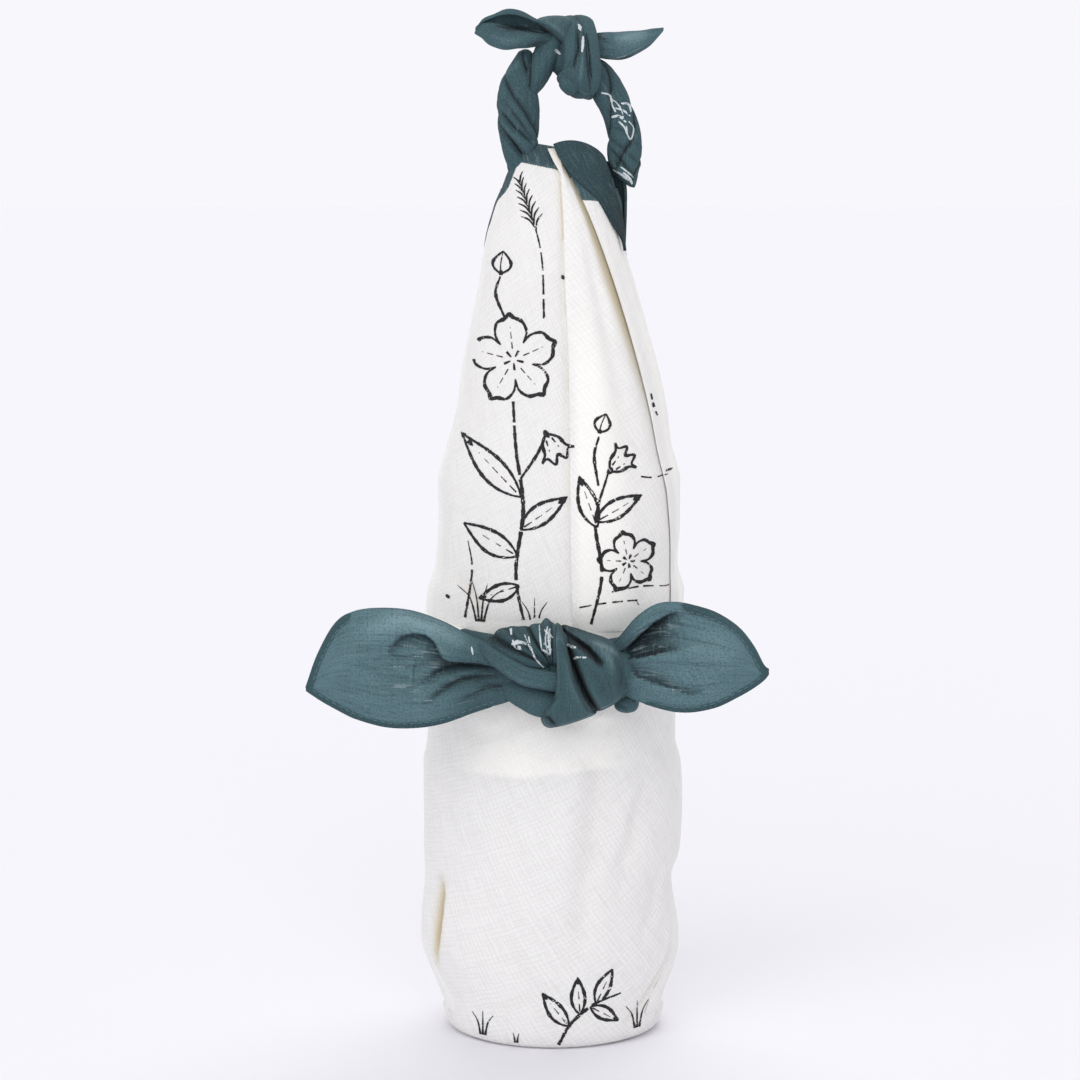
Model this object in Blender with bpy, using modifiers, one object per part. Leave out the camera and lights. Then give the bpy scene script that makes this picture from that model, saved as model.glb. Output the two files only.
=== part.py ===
"""Furoshiki bottle wrap: one square cloth, folded and knotted round an upright bottle space.

Two opposite corners are tied over the top and twisted into a ring handle. The other two cross behind and are
tied in a bow at the front. Blender 4.5, metres, +Z up, front towards -Y. The origin is the middle of the base.
"""
import math
from collections import namedtuple

import bmesh
import bpy
from mathutils import Vector

MM = 0.001

# Driving dimensions, in millimetres.
WALL_FRONT = 1.9      # cloth over the bottle at the front
WALL_BACK = 2.8       # cloth and crossing flaps at the back
WALL_SIDE = 2.6       # cloth that is drawn round the sides
BASE_FLOOR = 2.4      # cloth under the bottle
HEEL_HEIGHT = 8.0     # the bottle space is rounded below this
HEEL_ROUND = 4.0      # and this much narrower at its floor
COLUMNS = 48          # points round the outside of the body
HOLLOW_COLUMNS = 28   # points round the bottle space
HOLLOW_TOP = 297.0    # top of the bottle space
EAR_THICKNESS = 2.0   # a bow end, two layers near its root
WINDOW_DEPTH = 1.1    # how far the back panel lies under the crossing flaps
PANEL_THICKNESS = 3.4  # an added layer, with the part of it that is sunk in the body
PLEAT_CROWN = 0.5     # how much the front pleat swells between its edges
BAND_SUNK = 2.0       # how deep the waist bands reach into the body
BAND_EDGE = 1.0       # and how thick they are at least along their edges
LOBE_DEPTH = 0.09     # how much the twisted plies of the ring stand out, of its half-width
HEM_THINNING = 0.56   # a bow end's thickness along its edges, of its full thickness
LEAF_LEAN = 0.6       # how far a bow end's lower edge stands in front of its upper one

# The body's outline: half-widths to the left and right, and depths to the front and back, at each height.
Girth = namedtuple("Girth", "z left right front back")
BODY = [
    Girth(0.0, 33.5, 34.0, 34.0, 34.0),
    Girth(1.6, 37.0, 37.5, 36.6, 37.0),
    Girth(6.0, 38.8, 39.4, 38.2, 38.8),
    Girth(14.0, 40.2, 40.1, 38.8, 39.6),
    Girth(23.0, 43.2, 42.6, 39.2, 40.4),
    Girth(31.0, 45.6, 43.8, 39.5, 41.0),
    Girth(45.0, 46.0, 43.0, 39.8, 41.6),
    Girth(54.0, 45.3, 42.2, 40.0, 42.0),
    Girth(64.0, 45.6, 45.0, 40.2, 42.3),
    Girth(80.0, 45.6, 45.7, 40.5, 42.6),
    Girth(94.0, 45.7, 45.3, 40.8, 42.9),
    Girth(104.0, 44.2, 43.2, 40.8, 43.0),
    Girth(118.0, 43.6, 43.2, 40.4, 43.0),
    Girth(134.0, 43.6, 43.8, 40.0, 43.0),
    Girth(148.0, 44.6, 46.2, 40.0, 42.6),
    Girth(156.0, 43.8, 46.2, 39.6, 42.2),
    Girth(166.0, 40.9, 43.8, 39.0, 41.6),
    Girth(180.0, 39.9, 44.6, 38.2, 40.4),
    Girth(194.0, 40.0, 44.6, 36.8, 38.6),
    Girth(208.0, 36.8, 41.4, 34.4, 36.4),
    Girth(222.0, 33.2, 39.6, 31.8, 33.8),
    Girth(236.0, 31.2, 36.4, 28.8, 31.0),
    Girth(250.0, 28.5, 32.2, 25.8, 28.0),
    Girth(264.0, 25.5, 28.2, 22.6, 24.8),
    Girth(278.0, 23.4, 24.6, 19.2, 21.4),
    Girth(290.0, 19.8, 23.6, 15.8, 18.0),
    Girth(298.0, 17.0, 21.4, 12.6, 14.8),
    Girth(304.0, 14.6, 19.2, 9.6, 11.6),
    Girth(308.5, 12.4, 17.0, 6.4, 8.4),
    Girth(311.0, 9.0, 13.0, 3.0, 4.6),
]

HOLLOW_HEIGHTS = [
    BASE_FLOOR, HEEL_HEIGHT, 14.5, 23.5, 31.5, 60.5, 94.5, 104.5, 134.5, 150.5,
    158.5, 166.5, 180.5, 194.5, 208.5, 222.5, 250.5, 277.5, HOLLOW_TOP,
]

# Soft troughs (negative) and ridges (positive) of the body, each running from one height to another.
Fold = namedtuple("Fold", "low_z low_angle high_z high_angle depth width")
FOLDS = [
    Fold(30.0, 22.0, 118.0, 27.0, -1.1, 8.0),
    Fold(26.0, -58.0, 60.0, -57.0, -2.4, 5.0),
    Fold(8.0, 56.0, 34.0, 80.0, -1.3, 6.0),
    Fold(150.0, -62.0, 196.0, -30.0, -0.9, 8.0),
    Fold(162.0, 44.0, 232.0, 30.0, -1.0, 9.0),
]

# A gathered band that goes round the body from the crossing at the back to the bow, at an angle measured from
# the front, 90 at the right: its middle's height, half its height, and how far its edges and its crown stand off.
Band = namedtuple("Band", "angle z tall edge crown")
BAND_OVER = [
    Band(-147.0, 146.0, 25.0, -3.4, -0.8),
    Band(-160.0, 143.0, 23.5, 0.8, 2.8),
    Band(-180.0, 138.0, 20.0, 2.2, 5.6),
    Band(-205.0, 134.0, 19.0, 1.8, 5.2),
    Band(-235.0, 132.5, 18.0, 1.0, 4.2),
    Band(-270.0, 132.5, 17.0, 1.0, 4.2),
    Band(-300.0, 133.3, 14.3, 1.2, 5.2),
    Band(-322.0, 134.0, 11.0, 2.2, 7.6),
    Band(-343.0, 134.5, 9.0, 4.0, 11.0),
]
BAND_UNDER = [
    Band(158.0, 140.0, 23.0, -3.4, -0.8),
    Band(171.0, 137.0, 21.0, 0.6, 1.8),
    Band(188.0, 131.0, 19.0, 1.0, 3.4),
    Band(212.0, 127.5, 18.0, 1.2, 4.4),
    Band(240.0, 129.5, 17.0, 1.0, 4.2),
    Band(270.0, 132.0, 16.0, 1.0, 4.2),
    Band(300.0, 133.5, 14.0, 1.2, 5.2),
    Band(322.0, 135.0, 11.0, 2.2, 7.4),
    Band(343.0, 136.0, 9.0, 4.0, 11.0),
]

# The pleat that runs down the front from the apex: its two edges at each height, and how far it stands off.
Pleat = namedtuple("Pleat", "z left_x right_x left_lift right_lift")
FRONT_PLEAT = [
    Pleat(149.9, 6.2, 39.0, 1.6, 1.2),
    Pleat(160.0, 6.0, 40.4, 1.8, 1.4),
    Pleat(190.0, 5.4, 37.4, 2.0, 1.8),
    Pleat(207.0, 5.1, 32.4, 2.0, 2.2),
    Pleat(230.0, 4.8, 28.0, 2.0, 2.2),
    Pleat(248.0, 4.6, 23.2, 2.0, 2.2),
    Pleat(262.0, 4.0, 16.6, 2.0, 2.0),
    Pleat(292.0, 2.2, 10.6, 2.2, 1.8),
    Pleat(303.1, 0.6, 8.8, 1.8, 1.6),
]

# Openings of the back panel between the crossing flaps: half-angle from the middle of the back.
Window = namedtuple("Window", "z half_angle")
UPPER_WINDOW = [
    Window(176.0, 3.0), Window(196.0, 20.0), Window(232.0, 42.0),
    Window(262.0, 60.0), Window(284.0, 72.0), Window(292.0, 76.0),
]
LOWER_WINDOW = [
    Window(7.0, 113.7), Window(20.0, 103.3), Window(34.0, 88.0),
    Window(58.0, 62.0), Window(80.0, 36.0), Window(99.0, 4.0),
]
UPPER_WINDOW_HEIGHTS = [177.0, 190.7, 206.7, 223.7, 241.7, 259.7, 276.7, 291.0]
LOWER_WINDOW_HEIGHTS = [7.3, 16.2, 26.2, 38.2, 52.2, 67.8, 83.8, 98.2]

# A slit at each side, between the front panel's edge and the back panel's edge.
Slit = namedtuple("Slit", "y half_width")
SLIT_RISE = [(234.1, 0.15), (249.3, 0.75), (268.3, 1.0), (288.3, 1.0), (297.1, 0.8)]
SLITS = {-1: Slit(4.4, 4.5), 1: Slit(1.6, 3.9)}
SLIT_REACH = (6.0, 60.0)   # the slits run from the bottle space to well outside the body
POCKET_REACH = 4.4         # and the back's openings are cut from this far outside it

# A twisted or folded strand of gathered cloth: middle line, half-width, half-thickness.
Bead = namedtuple("Bead", "x y z wide thick")
RING_LEFT = [
    Bead(-8.0, 0.0, 292.0, 6.0, 6.0),
    Bead(-11.2, 0.0, 301.5, 6.6, 6.6),
    Bead(-12.9, -0.5, 310.0, 7.2, 7.0),
    Bead(-12.2, -1.0, 320.5, 7.4, 7.0),
    Bead(-9.4, -1.0, 329.5, 7.2, 6.6),
    Bead(-4.2, -1.0, 337.0, 6.6, 6.2),
    Bead(2.4, -1.0, 343.5, 6.0, 6.0),
]
RING_RIGHT = [
    Bead(19.0, 0.5, 292.5, 5.2, 5.2),
    Bead(23.0, 0.5, 298.8, 6.0, 5.6),
    Bead(24.8, 0.5, 306.4, 6.0, 5.4),
    Bead(24.2, 0.5, 313.6, 5.4, 5.2),
    Bead(22.2, 0.0, 321.8, 5.2, 5.0),
    Bead(17.9, 0.0, 329.0, 5.2, 5.0),
    Bead(11.0, 0.0, 337.0, 5.6, 5.4),
]
TOP_WRAP = [
    Bead(5.0, -3.0, 329.5, 5.5, 3.2),
    Bead(8.5, -8.0, 330.5, 8.2, 3.6),
    Bead(9.8, -9.8, 337.0, 8.0, 4.0),
    Bead(9.2, -8.8, 345.5, 7.6, 4.2),
    Bead(7.4, -4.2, 350.6, 7.6, 3.8),
    Bead(6.0, 2.5, 350.0, 7.6, 4.0),
    Bead(6.5, 7.4, 342.5, 7.4, 4.0),
    Bead(8.0, 6.5, 334.0, 6.4, 3.6),
]
TOP_CROWN = [
    Bead(-4.6, -2.6, 349.2, 2.8, 2.8),
    Bead(-0.5, -5.4, 350.0, 4.2, 3.6),
    Bead(3.0, -9.0, 346.0, 4.6, 3.6),
    Bead(4.5, -10.0, 340.0, 3.6, 3.0),
]
BOW_FAN = [
    Bead(-29.0, -46.0, 142.6, 2.6, 2.4),
    Bead(-20.0, -51.5, 142.8, 7.2, 4.2),
    Bead(-9.0, -56.0, 141.6, 10.4, 5.4),
    Bead(0.0, -58.5, 140.4, 11.2, 5.4),
    Bead(8.0, -57.0, 139.6, 8.6, 5.4),
]
BOW_WRAP_LEFT = [
    Bead(6.0, -48.0, 149.5, 6.0, 4.0),
    Bead(4.4, -59.5, 147.5, 7.0, 4.4),
    Bead(4.0, -64.0, 139.0, 7.6, 4.8),
    Bead(3.4, -64.4, 130.0, 8.0, 4.8),
    Bead(2.2, -60.0, 122.4, 7.2, 4.6),
    Bead(3.0, -50.0, 119.0, 6.4, 4.6),
    Bead(5.0, -43.5, 121.0, 6.0, 4.0),
]
BOW_WRAP_RIGHT = [
    Bead(10.0, -47.0, 147.0, 6.0, 4.0),
    Bead(13.0, -59.0, 144.6, 7.4, 4.6),
    Bead(17.0, -63.6, 137.0, 8.0, 5.0),
    Bead(16.4, -62.6, 129.0, 7.6, 5.0),
    Bead(12.4, -56.0, 122.6, 6.8, 4.6),
    Bead(10.0, -46.0, 122.0, 6.0, 4.4),
]
BOW_TUCK = [
    Bead(-17.5, -47.0, 132.3, 3.6, 3.4),
    Bead(-10.0, -54.0, 127.6, 5.4, 4.4),
    Bead(-2.0, -56.0, 122.6, 5.4, 4.6),
    Bead(4.0, -54.0, 122.0, 4.6, 4.4),
]

BOW_MIDDLE = Vector((9.0, -50.0, 134.0))
TOP_KNOT_MIDDLE = Vector((8.0, 0.0, 340.0))

# A ball-like fold: middle and half-sizes.
Lump = namedtuple("Lump", "name x y z wide deep tall")
LUMPS = [
    Lump("bow_core", 8.0, -50.0, 134.0, 17.0, 10.5, 14.5),
    Lump("bow_bud", 24.6, -48.5, 125.0, 3.8, 4.4, 3.8),
    Lump("top_core", 5.5, -2.0, 341.5, 9.6, 7.0, 9.6),
]

# A bow end, cut across at each station. The lip is the upper part that rolls forward over a hollow.
Leaf = namedtuple("Leaf", "x low top front hollow lip roll")
BOW_LEFT = [
    Leaf(-8.0, 127.0, 141.0, -50.0, 0.0, 0.0, 0.50),
    Leaf(-17.0, 125.4, 143.6, -51.5, 1.6, 1.4, 0.55),
    Leaf(-28.0, 120.6, 147.6, -54.0, 5.0, 3.0, 0.58),
    Leaf(-38.0, 117.4, 151.6, -56.5, 7.0, 3.0, 0.66),
    Leaf(-49.0, 115.8, 155.4, -58.0, 5.6, 1.4, 0.74),
    Leaf(-60.0, 117.2, 156.4, -58.5, 3.6, 0.4, 0.80),
    Leaf(-70.0, 120.8, 153.4, -58.0, 2.2, 0.0, 0.80),
    Leaf(-77.0, 123.8, 144.6, -57.5, 1.2, 0.0, 0.80),
    Leaf(-82.4, 126.4, 131.0, -57.0, 0.0, 0.0, 0.80),
]
BOW_RIGHT = [
    Leaf(20.0, 130.0, 143.0, -50.0, 0.6, 0.0, 0.60),
    Leaf(27.0, 126.0, 146.0, -52.0, 3.2, 1.2, 0.60),
    Leaf(33.0, 123.4, 153.0, -54.0, 6.0, 1.2, 0.70),
    Leaf(40.0, 122.0, 157.4, -55.5, 7.0, 0.6, 0.78),
    Leaf(48.0, 122.2, 158.4, -56.5, 6.0, 0.2, 0.82),
    Leaf(56.0, 124.2, 155.6, -57.0, 4.6, 0.0, 0.82),
    Leaf(63.0, 127.4, 149.6, -57.0, 3.0, 0.0, 0.82),
    Leaf(68.0, 130.8, 142.6, -56.6, 1.4, 0.0, 0.82),
    Leaf(72.0, 133.4, 136.8, -56.0, 0.0, 0.0, 0.82),
]
TOP_EAR_LEFT = [
    Leaf(4.0, 343.6, 347.6, -2.0, 0.0, 0.0, 0.60),
    Leaf(-3.0, 343.0, 348.6, -3.0, 0.6, 0.4, 0.60),
    Leaf(-9.0, 342.2, 352.6, -4.4, 3.4, 2.0, 0.60),
    Leaf(-15.0, 342.4, 355.4, -5.4, 4.6, 2.0, 0.62),
    Leaf(-20.0, 343.8, 355.0, -5.4, 3.0, 1.0, 0.66),
    Leaf(-24.0, 345.8, 352.6, -4.8, 1.2, 0.0, 0.70),
    Leaf(-26.8, 347.6, 350.2, -4.2, 0.0, 0.0, 0.70),
]
TOP_EAR_RIGHT = [
    Leaf(9.0, 343.0, 347.0, -1.0, 0.0, 0.0, 0.70),
    Leaf(15.5, 341.6, 348.4, -1.6, 1.2, 0.4, 0.70),
    Leaf(21.0, 340.2, 348.6, -2.2, 2.2, 0.4, 0.76),
    Leaf(27.0, 341.2, 348.8, -2.6, 1.6, 0.0, 0.80),
    Leaf(32.5, 344.0, 349.2, -2.8, 0.8, 0.0, 0.80),
    Leaf(37.4, 347.6, 350.0, -2.8, 0.0, 0.0, 0.80),
]


def hermite(keys, values, at):
    """A smooth value at a place between rising keys."""
    last = len(keys) - 1
    if at <= keys[0]:
        return values[0]
    if at >= keys[last]:
        return values[last]
    i = next(k for k in range(last) if at <= keys[k + 1])
    span = keys[i + 1] - keys[i]
    t = (at - keys[i]) / span

    def slope(k):
        if k == 0 or k == last:
            return (values[min(k + 1, last)] - values[max(k - 1, 0)]) / (keys[min(k + 1, last)] - keys[max(k - 1, 0)])
        before = (values[k] - values[k - 1]) / (keys[k] - keys[k - 1])
        after = (values[k + 1] - values[k]) / (keys[k + 1] - keys[k])
        return 0.0 if before * after <= 0.0 else 2.0 * before * after / (before + after)

    a = slope(i) * span
    b = slope(i + 1) * span
    gap = values[i + 1] - values[i]
    return values[i] + t * (a + t * (3.0 * gap - 2.0 * a - b + t * (a + b - 2.0 * gap)))


def column(rows, name):
    """One named column of a table."""
    return [getattr(row, name) for row in rows]


def read(rows, key, name, at):
    """A column of a table, read smoothly between its rows."""
    return hermite(column(rows, key), column(rows, name), at)


def fold_relief(angle, z):
    """How far the soft folds move the body's surface."""
    total = 0.0
    for fold in FOLDS:
        t = (z - fold.low_z) / (fold.high_z - fold.low_z)
        if 0.0 < t < 1.0:
            middle = fold.low_angle + t * (fold.high_angle - fold.low_angle)
            across = (angle - middle) / fold.width
            total += fold.depth * math.exp(-across * across) * math.sin(math.pi * t) ** 0.5
    return total


def on_body(angle, z, lift):
    """A point of the body's surface, or lift millimetres outside it."""
    turn = math.radians(angle)
    side, ahead = math.sin(turn), math.cos(turn)
    reach_x = read(BODY, "z", "right" if side > 0.0 else "left", z)
    reach_y = read(BODY, "z", "front" if ahead > 0.0 else "back", z)
    wrapped = (angle + 180.0) % 360.0 - 180.0
    out = lift + fold_relief(wrapped, z)
    return Vector((side * (reach_x + out), -ahead * (reach_y + out), z)) * MM


def angle_at(x, z):
    """The angle at which the front of the body reaches x."""
    reach = read(BODY, "z", "right" if x > 0.0 else "left", z)
    return math.degrees(math.asin(max(-1.0, min(1.0, x / reach))))


def mesh_object(name, points, faces):
    """An object in the working collection from points and faces."""
    mesh = bpy.data.meshes.new(name)
    mesh.from_pydata([tuple(p) for p in points], [], faces)
    mesh.validate()
    item = bpy.data.objects.new(name, mesh)
    work.objects.link(item)
    item.hide_render = True
    item.display_type = "WIRE"
    return item


def face_out(item):
    """Turn an object's faces outwards."""
    edit = bmesh.new()
    edit.from_mesh(item.data)
    bmesh.ops.recalc_face_normals(edit, faces=edit.faces)
    edit.to_mesh(item.data)
    edit.free()
    return item


def loft(name, rings, flat_ring=False):
    """A closed solid through rings of equal length.

    The ends of round rings close with a fan. A flat ring runs out and back, and closes with a ladder of faces.
    """
    count = len(rings[0])
    points = [p for ring in rings for p in ring]
    faces = []
    for r in range(len(rings) - 1):
        for c in range(count):
            n = (c + 1) % count
            faces.append((r * count + c, r * count + n, (r + 1) * count + n, (r + 1) * count + c))
    for ring, start in ((rings[0], 0), (rings[-1], (len(rings) - 1) * count)):
        if flat_ring:
            last = start + count - 1
            faces += [(start + c, start + c + 1, last - c - 1, last - c) for c in range(count // 2 - 1)]
        else:
            middle = len(points)
            points.append(sum((Vector(p) for p in ring), Vector()) / count)
            faces += [(middle, start + c, start + (c + 1) % count) for c in range(count)]
    return face_out(mesh_object(name, points, faces))


def sheet(name, rows, thickness, offset):
    """A thin closed solid on a grid of points."""
    count = len(rows[0])
    points = [p for row in rows for p in row]
    faces = []
    for r in range(len(rows) - 1):
        for c in range(count - 1):
            faces.append((r * count + c, r * count + c + 1, (r + 1) * count + c + 1, (r + 1) * count + c))
    item = mesh_object(name, points, faces)
    solid = item.modifiers.new("thickness", "SOLIDIFY")
    solid.thickness = thickness * MM
    solid.offset = offset
    return item


def spread(low, high, count):
    """Evenly spaced values from low to high."""
    return [low + (high - low) * i / (count - 1) for i in range(count)]


def body_solid():
    """The outside of the wrapped bottle, filled."""
    heights = column(BODY, "z")
    angles = [360.0 * i / COLUMNS for i in range(COLUMNS)]
    return loft("body_outside", [[on_body(a, z, 0.0) for a in angles] for z in heights])


def hollow_solid():
    """The space that the bottle stands in, inside the body's walls."""
    angles = [360.0 * i / HOLLOW_COLUMNS for i in range(HOLLOW_COLUMNS)]
    rings = []
    for z in HOLLOW_HEIGHTS:
        heel = HEEL_ROUND * max(0.0, (HEEL_HEIGHT - z) / (HEEL_HEIGHT - BASE_FLOOR))
        ring = []
        for angle in angles:
            side, ahead = math.sin(math.radians(angle)), math.cos(math.radians(angle))
            reach_x = read(BODY, "z", "right" if side > 0.0 else "left", max(z, HEEL_HEIGHT)) - WALL_SIDE
            reach_y = read(BODY, "z", "front" if ahead > 0.0 else "back", max(z, HEEL_HEIGHT))
            reach_y -= WALL_FRONT if ahead > 0.0 else WALL_BACK
            ring.append(Vector((side * (reach_x - heel), -ahead * (reach_y - heel), z)) * MM)
        rings.append(ring)
    return loft("hollow", rings)


def wrapped_band(name, bands, across=8, step=11.0):
    """A gathered band round the body, crowned outside and sunk in the body behind."""
    order = 1.0 if bands[-1].angle > bands[0].angle else -1.0
    keys = [order * band.angle for band in bands]
    rings = []
    for key in spread(keys[0], keys[-1], round((keys[-1] - keys[0]) / step)):
        z, tall, edge, crown = [hermite(keys, column(bands, c), key) for c in ("z", "tall", "edge", "crown")]
        behind = min(-BAND_SUNK, edge - BAND_EDGE)
        outside, inside = [], []
        for a in spread(0.0, math.pi, across):
            height = z + tall * math.cos(a)
            outside.append(on_body(order * key, height, edge + (crown - edge) * math.sin(a)))
            inside.append(on_body(order * key, height, behind))
        rings.append(outside + inside[::-1])
    return loft(name, rings, flat_ring=True)


def pleat_layer(across=6, lengthwise=16):
    """The long pleat down the front."""
    rows = []
    for z in spread(FRONT_PLEAT[0].z, FRONT_PLEAT[-1].z, lengthwise):
        left = angle_at(read(FRONT_PLEAT, "z", "left_x", z), z)
        right = angle_at(read(FRONT_PLEAT, "z", "right_x", z), z)
        from_left = read(FRONT_PLEAT, "z", "left_lift", z)
        from_right = read(FRONT_PLEAT, "z", "right_lift", z)
        row = []
        for t in spread(0.0, 1.0, across):
            lift = from_left + t * (from_right - from_left) + PLEAT_CROWN * math.sin(math.pi * t)
            row.append(on_body(left + t * (right - left), z, lift))
        rows.append(row)
    return sheet("front_pleat", rows, PANEL_THICKNESS, -1.0)


def window_cutter(name, windows, heights, across):
    """A shallow pocket in the back, between the edges of the flaps."""
    rings = []
    for z in heights:
        half = read(windows, "z", "half_angle", z)
        angles = spread(180.0 - half, 180.0 + half, across)
        inner = [on_body(a, z, -WINDOW_DEPTH) for a in angles]
        outer = [on_body(a, z, POCKET_REACH) for a in reversed(angles)]
        rings.append(inner + outer)
    return loft(name, rings, flat_ring=True)


def slit_cutter(side):
    """The opening between the front and back panels' edges at one side."""
    slit = SLITS[side]
    outline = [(slit.y - slit.half_width * w, z) for z, w in SLIT_RISE]
    outline += [(slit.y + slit.half_width * w, z) for z, w in reversed(SLIT_RISE)]
    rings = [[Vector((side * x, y, z)) * MM for y, z in outline] for x in SLIT_REACH]
    return loft("slit_left" if side < 0 else "slit_right", rings, flat_ring=True)


def strand(name, beads, facing, sides=12, stations=12, plies=0, turns=0.0):
    """A solid strand along a smooth middle line, flat towards facing, with twisted plies where asked."""
    depth = LOBE_DEPTH if plies else 0.0
    keys = list(range(len(beads)))
    places = spread(0.0, len(beads) - 1.0, stations)

    def middle(at):
        return Vector([hermite(keys, column(beads, axis), at) for axis in ("x", "y", "z")])

    rings = []
    for i, at in enumerate(places):
        along = (middle(min(at + 0.05, keys[-1])) - middle(max(at - 0.05, 0.0))).normalized()
        out = facing(middle(at)) - along * facing(middle(at)).dot(along)
        out.normalize()
        across = along.cross(out)
        wide = hermite(keys, column(beads, "wide"), at)
        thick = hermite(keys, column(beads, "thick"), at)
        ring = []
        for k in range(sides):
            a = 2.0 * math.pi * k / sides
            swell = 1.0 + depth * math.cos(plies * a - 2.0 * math.pi * turns * i / (stations - 1))
            point = across * (wide * swell * math.cos(a)) + out * (thick * swell * math.sin(a))
            ring.append((middle(at) + point) * MM)
        rings.append(ring)
    return loft(name, rings)


def lump(row):
    """A rounded lump of gathered cloth."""
    bpy.ops.mesh.primitive_uv_sphere_add(segments=12, ring_count=8, radius=1.0)
    item = bpy.context.object
    item.name = row.name
    for owner in list(item.users_collection):
        owner.objects.unlink(item)
    work.objects.link(item)
    size = Vector((row.wide, row.deep, row.tall)) * MM
    place = Vector((row.x, row.y, row.z)) * MM
    for vertex in item.data.vertices:
        vertex.co = Vector(c * s for c, s in zip(vertex.co, size)) + place
    item.hide_render = True
    item.display_type = "WIRE"
    return item


def leaf_section(row, across):
    """A ring round a bow end: up its front, then down its back. Its two edges are hemmed and a little thinner."""
    height = row.top - row.low
    front, back = [], []
    for t in spread(0.0, 1.0, across):
        below = min(1.0, t / row.roll)
        y = row.front + row.hollow * math.sin(math.pi * below ** 1.3) - LEAF_LEAN * (1.0 - t)
        if t > row.roll:
            above = (t - row.roll) / (1.0 - row.roll)
            y -= row.lip * math.sin(math.pi * above)
        half = 0.5 * EAR_THICKNESS * (HEM_THINNING if t in (0.0, 1.0) else 1.0)
        front.append(Vector((row.x, y - half, row.low + height * t)) * MM)
        back.append(Vector((row.x, y + half, row.low + height * t)) * MM)
    return front + back[::-1]


def leaf(name, stations, across=8, lengthwise=12):
    """A cupped bow end."""
    keys = list(range(len(stations)))
    rings = []
    for at in spread(0.0, len(stations) - 1.0, lengthwise):
        row = Leaf(*[hermite(keys, column(stations, field), at) for field in Leaf._fields])
        rings.append(leaf_section(row, across))
    return loft(name, rings, flat_ring=True)


def towards_front(_place):
    """Strands at the bow and the ring lie flat towards the front."""
    return Vector((0.0, -1.0, 0.0))


def away_from_bow(place):
    """Out of the bow's middle."""
    return (place - BOW_MIDDLE).normalized()


def away_from_top_knot(place):
    """Out of the top knot's middle."""
    return (place - TOP_KNOT_MIDDLE).normalized()


def gather(name, items):
    """A collection of items to be joined on or cut away together."""
    group = bpy.data.collections.new(name)
    work.children.link(group)
    for item in items:
        work.objects.unlink(item)
        group.objects.link(item)
    return group


def combine(target, group, operation):
    """Add all of a collection to the target, or cut it away."""
    step = target.modifiers.new(group.name, "BOOLEAN")
    step.operand_type = "COLLECTION"
    step.collection = group
    step.operation = operation
    step.solver = "EXACT"


def cloth_material():
    """Off-white cotton, as most of the cloth shows."""
    material = bpy.data.materials.new("slub cotton")
    material.use_nodes = True
    shader = material.node_tree.nodes["Principled BSDF"]
    shader.inputs["Base Color"].default_value = (0.80, 0.79, 0.75, 1.0)
    shader.inputs["Roughness"].default_value = 0.85
    shader.inputs["Metallic"].default_value = 0.0
    return material


for old in list(bpy.data.objects):
    bpy.data.objects.remove(old, do_unlink=True)

model = bpy.data.collections.new("furoshiki wrap")
work = bpy.data.collections.new("cutters and lofts")
bpy.context.scene.collection.children.link(model)
bpy.context.scene.collection.children.link(work)

cloth = body_solid()
work.objects.unlink(cloth)
model.objects.link(cloth)
cloth.name = "furoshiki_cloth"
cloth.hide_render = False
cloth.display_type = "TEXTURED"
cloth.data.materials.append(cloth_material())

folds_and_knots = [
    pleat_layer(),
    wrapped_band("band_under", BAND_UNDER),
    wrapped_band("band_over", BAND_OVER),
    strand("ring_left", RING_LEFT, towards_front, plies=3, turns=1.1, stations=16),
    strand("ring_right", RING_RIGHT, towards_front, plies=3, turns=-1.0, stations=15),
    strand("top_wrap", TOP_WRAP, away_from_top_knot, stations=16),
    strand("top_crown", TOP_CROWN, away_from_top_knot, sides=10, stations=8),
    leaf("top_ear_left", TOP_EAR_LEFT, 7, 10),
    leaf("top_ear_right", TOP_EAR_RIGHT, 7, 9),
    leaf("bow_left", BOW_LEFT, 9, 14),
    leaf("bow_right", BOW_RIGHT, 9, 14),
    strand("bow_fan", BOW_FAN, away_from_bow, stations=9),
    strand("bow_tuck", BOW_TUCK, away_from_bow, sides=10, stations=8),
    strand("bow_wrap_left", BOW_WRAP_LEFT, away_from_bow, stations=13),
    strand("bow_wrap_right", BOW_WRAP_RIGHT, away_from_bow, stations=12),
] + [lump(row) for row in LUMPS]
spaces = [
    window_cutter("upper_window", UPPER_WINDOW, UPPER_WINDOW_HEIGHTS, 8),
    window_cutter("lower_window", LOWER_WINDOW, LOWER_WINDOW_HEIGHTS, 12),
    hollow_solid(),
    slit_cutter(-1),
    slit_cutter(1),
]
combine(cloth, gather("folds and knots", folds_and_knots), "UNION")
combine(cloth, gather("spaces", spaces), "DIFFERENCE")
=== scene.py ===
"""Looks of the furoshiki bottle wrap: its slub cotton, folds, knots, hems and printed sprigs.

Every length is in millimetres until a mesh is made. +Z is up and the front with the bow faces -Y.
"""
from __future__ import annotations

import logging
import math
from dataclasses import dataclass, field
from enum import Enum

import bmesh
import bpy
import numpy as np
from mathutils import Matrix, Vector
from mathutils.bvhtree import BVHTree

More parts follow.
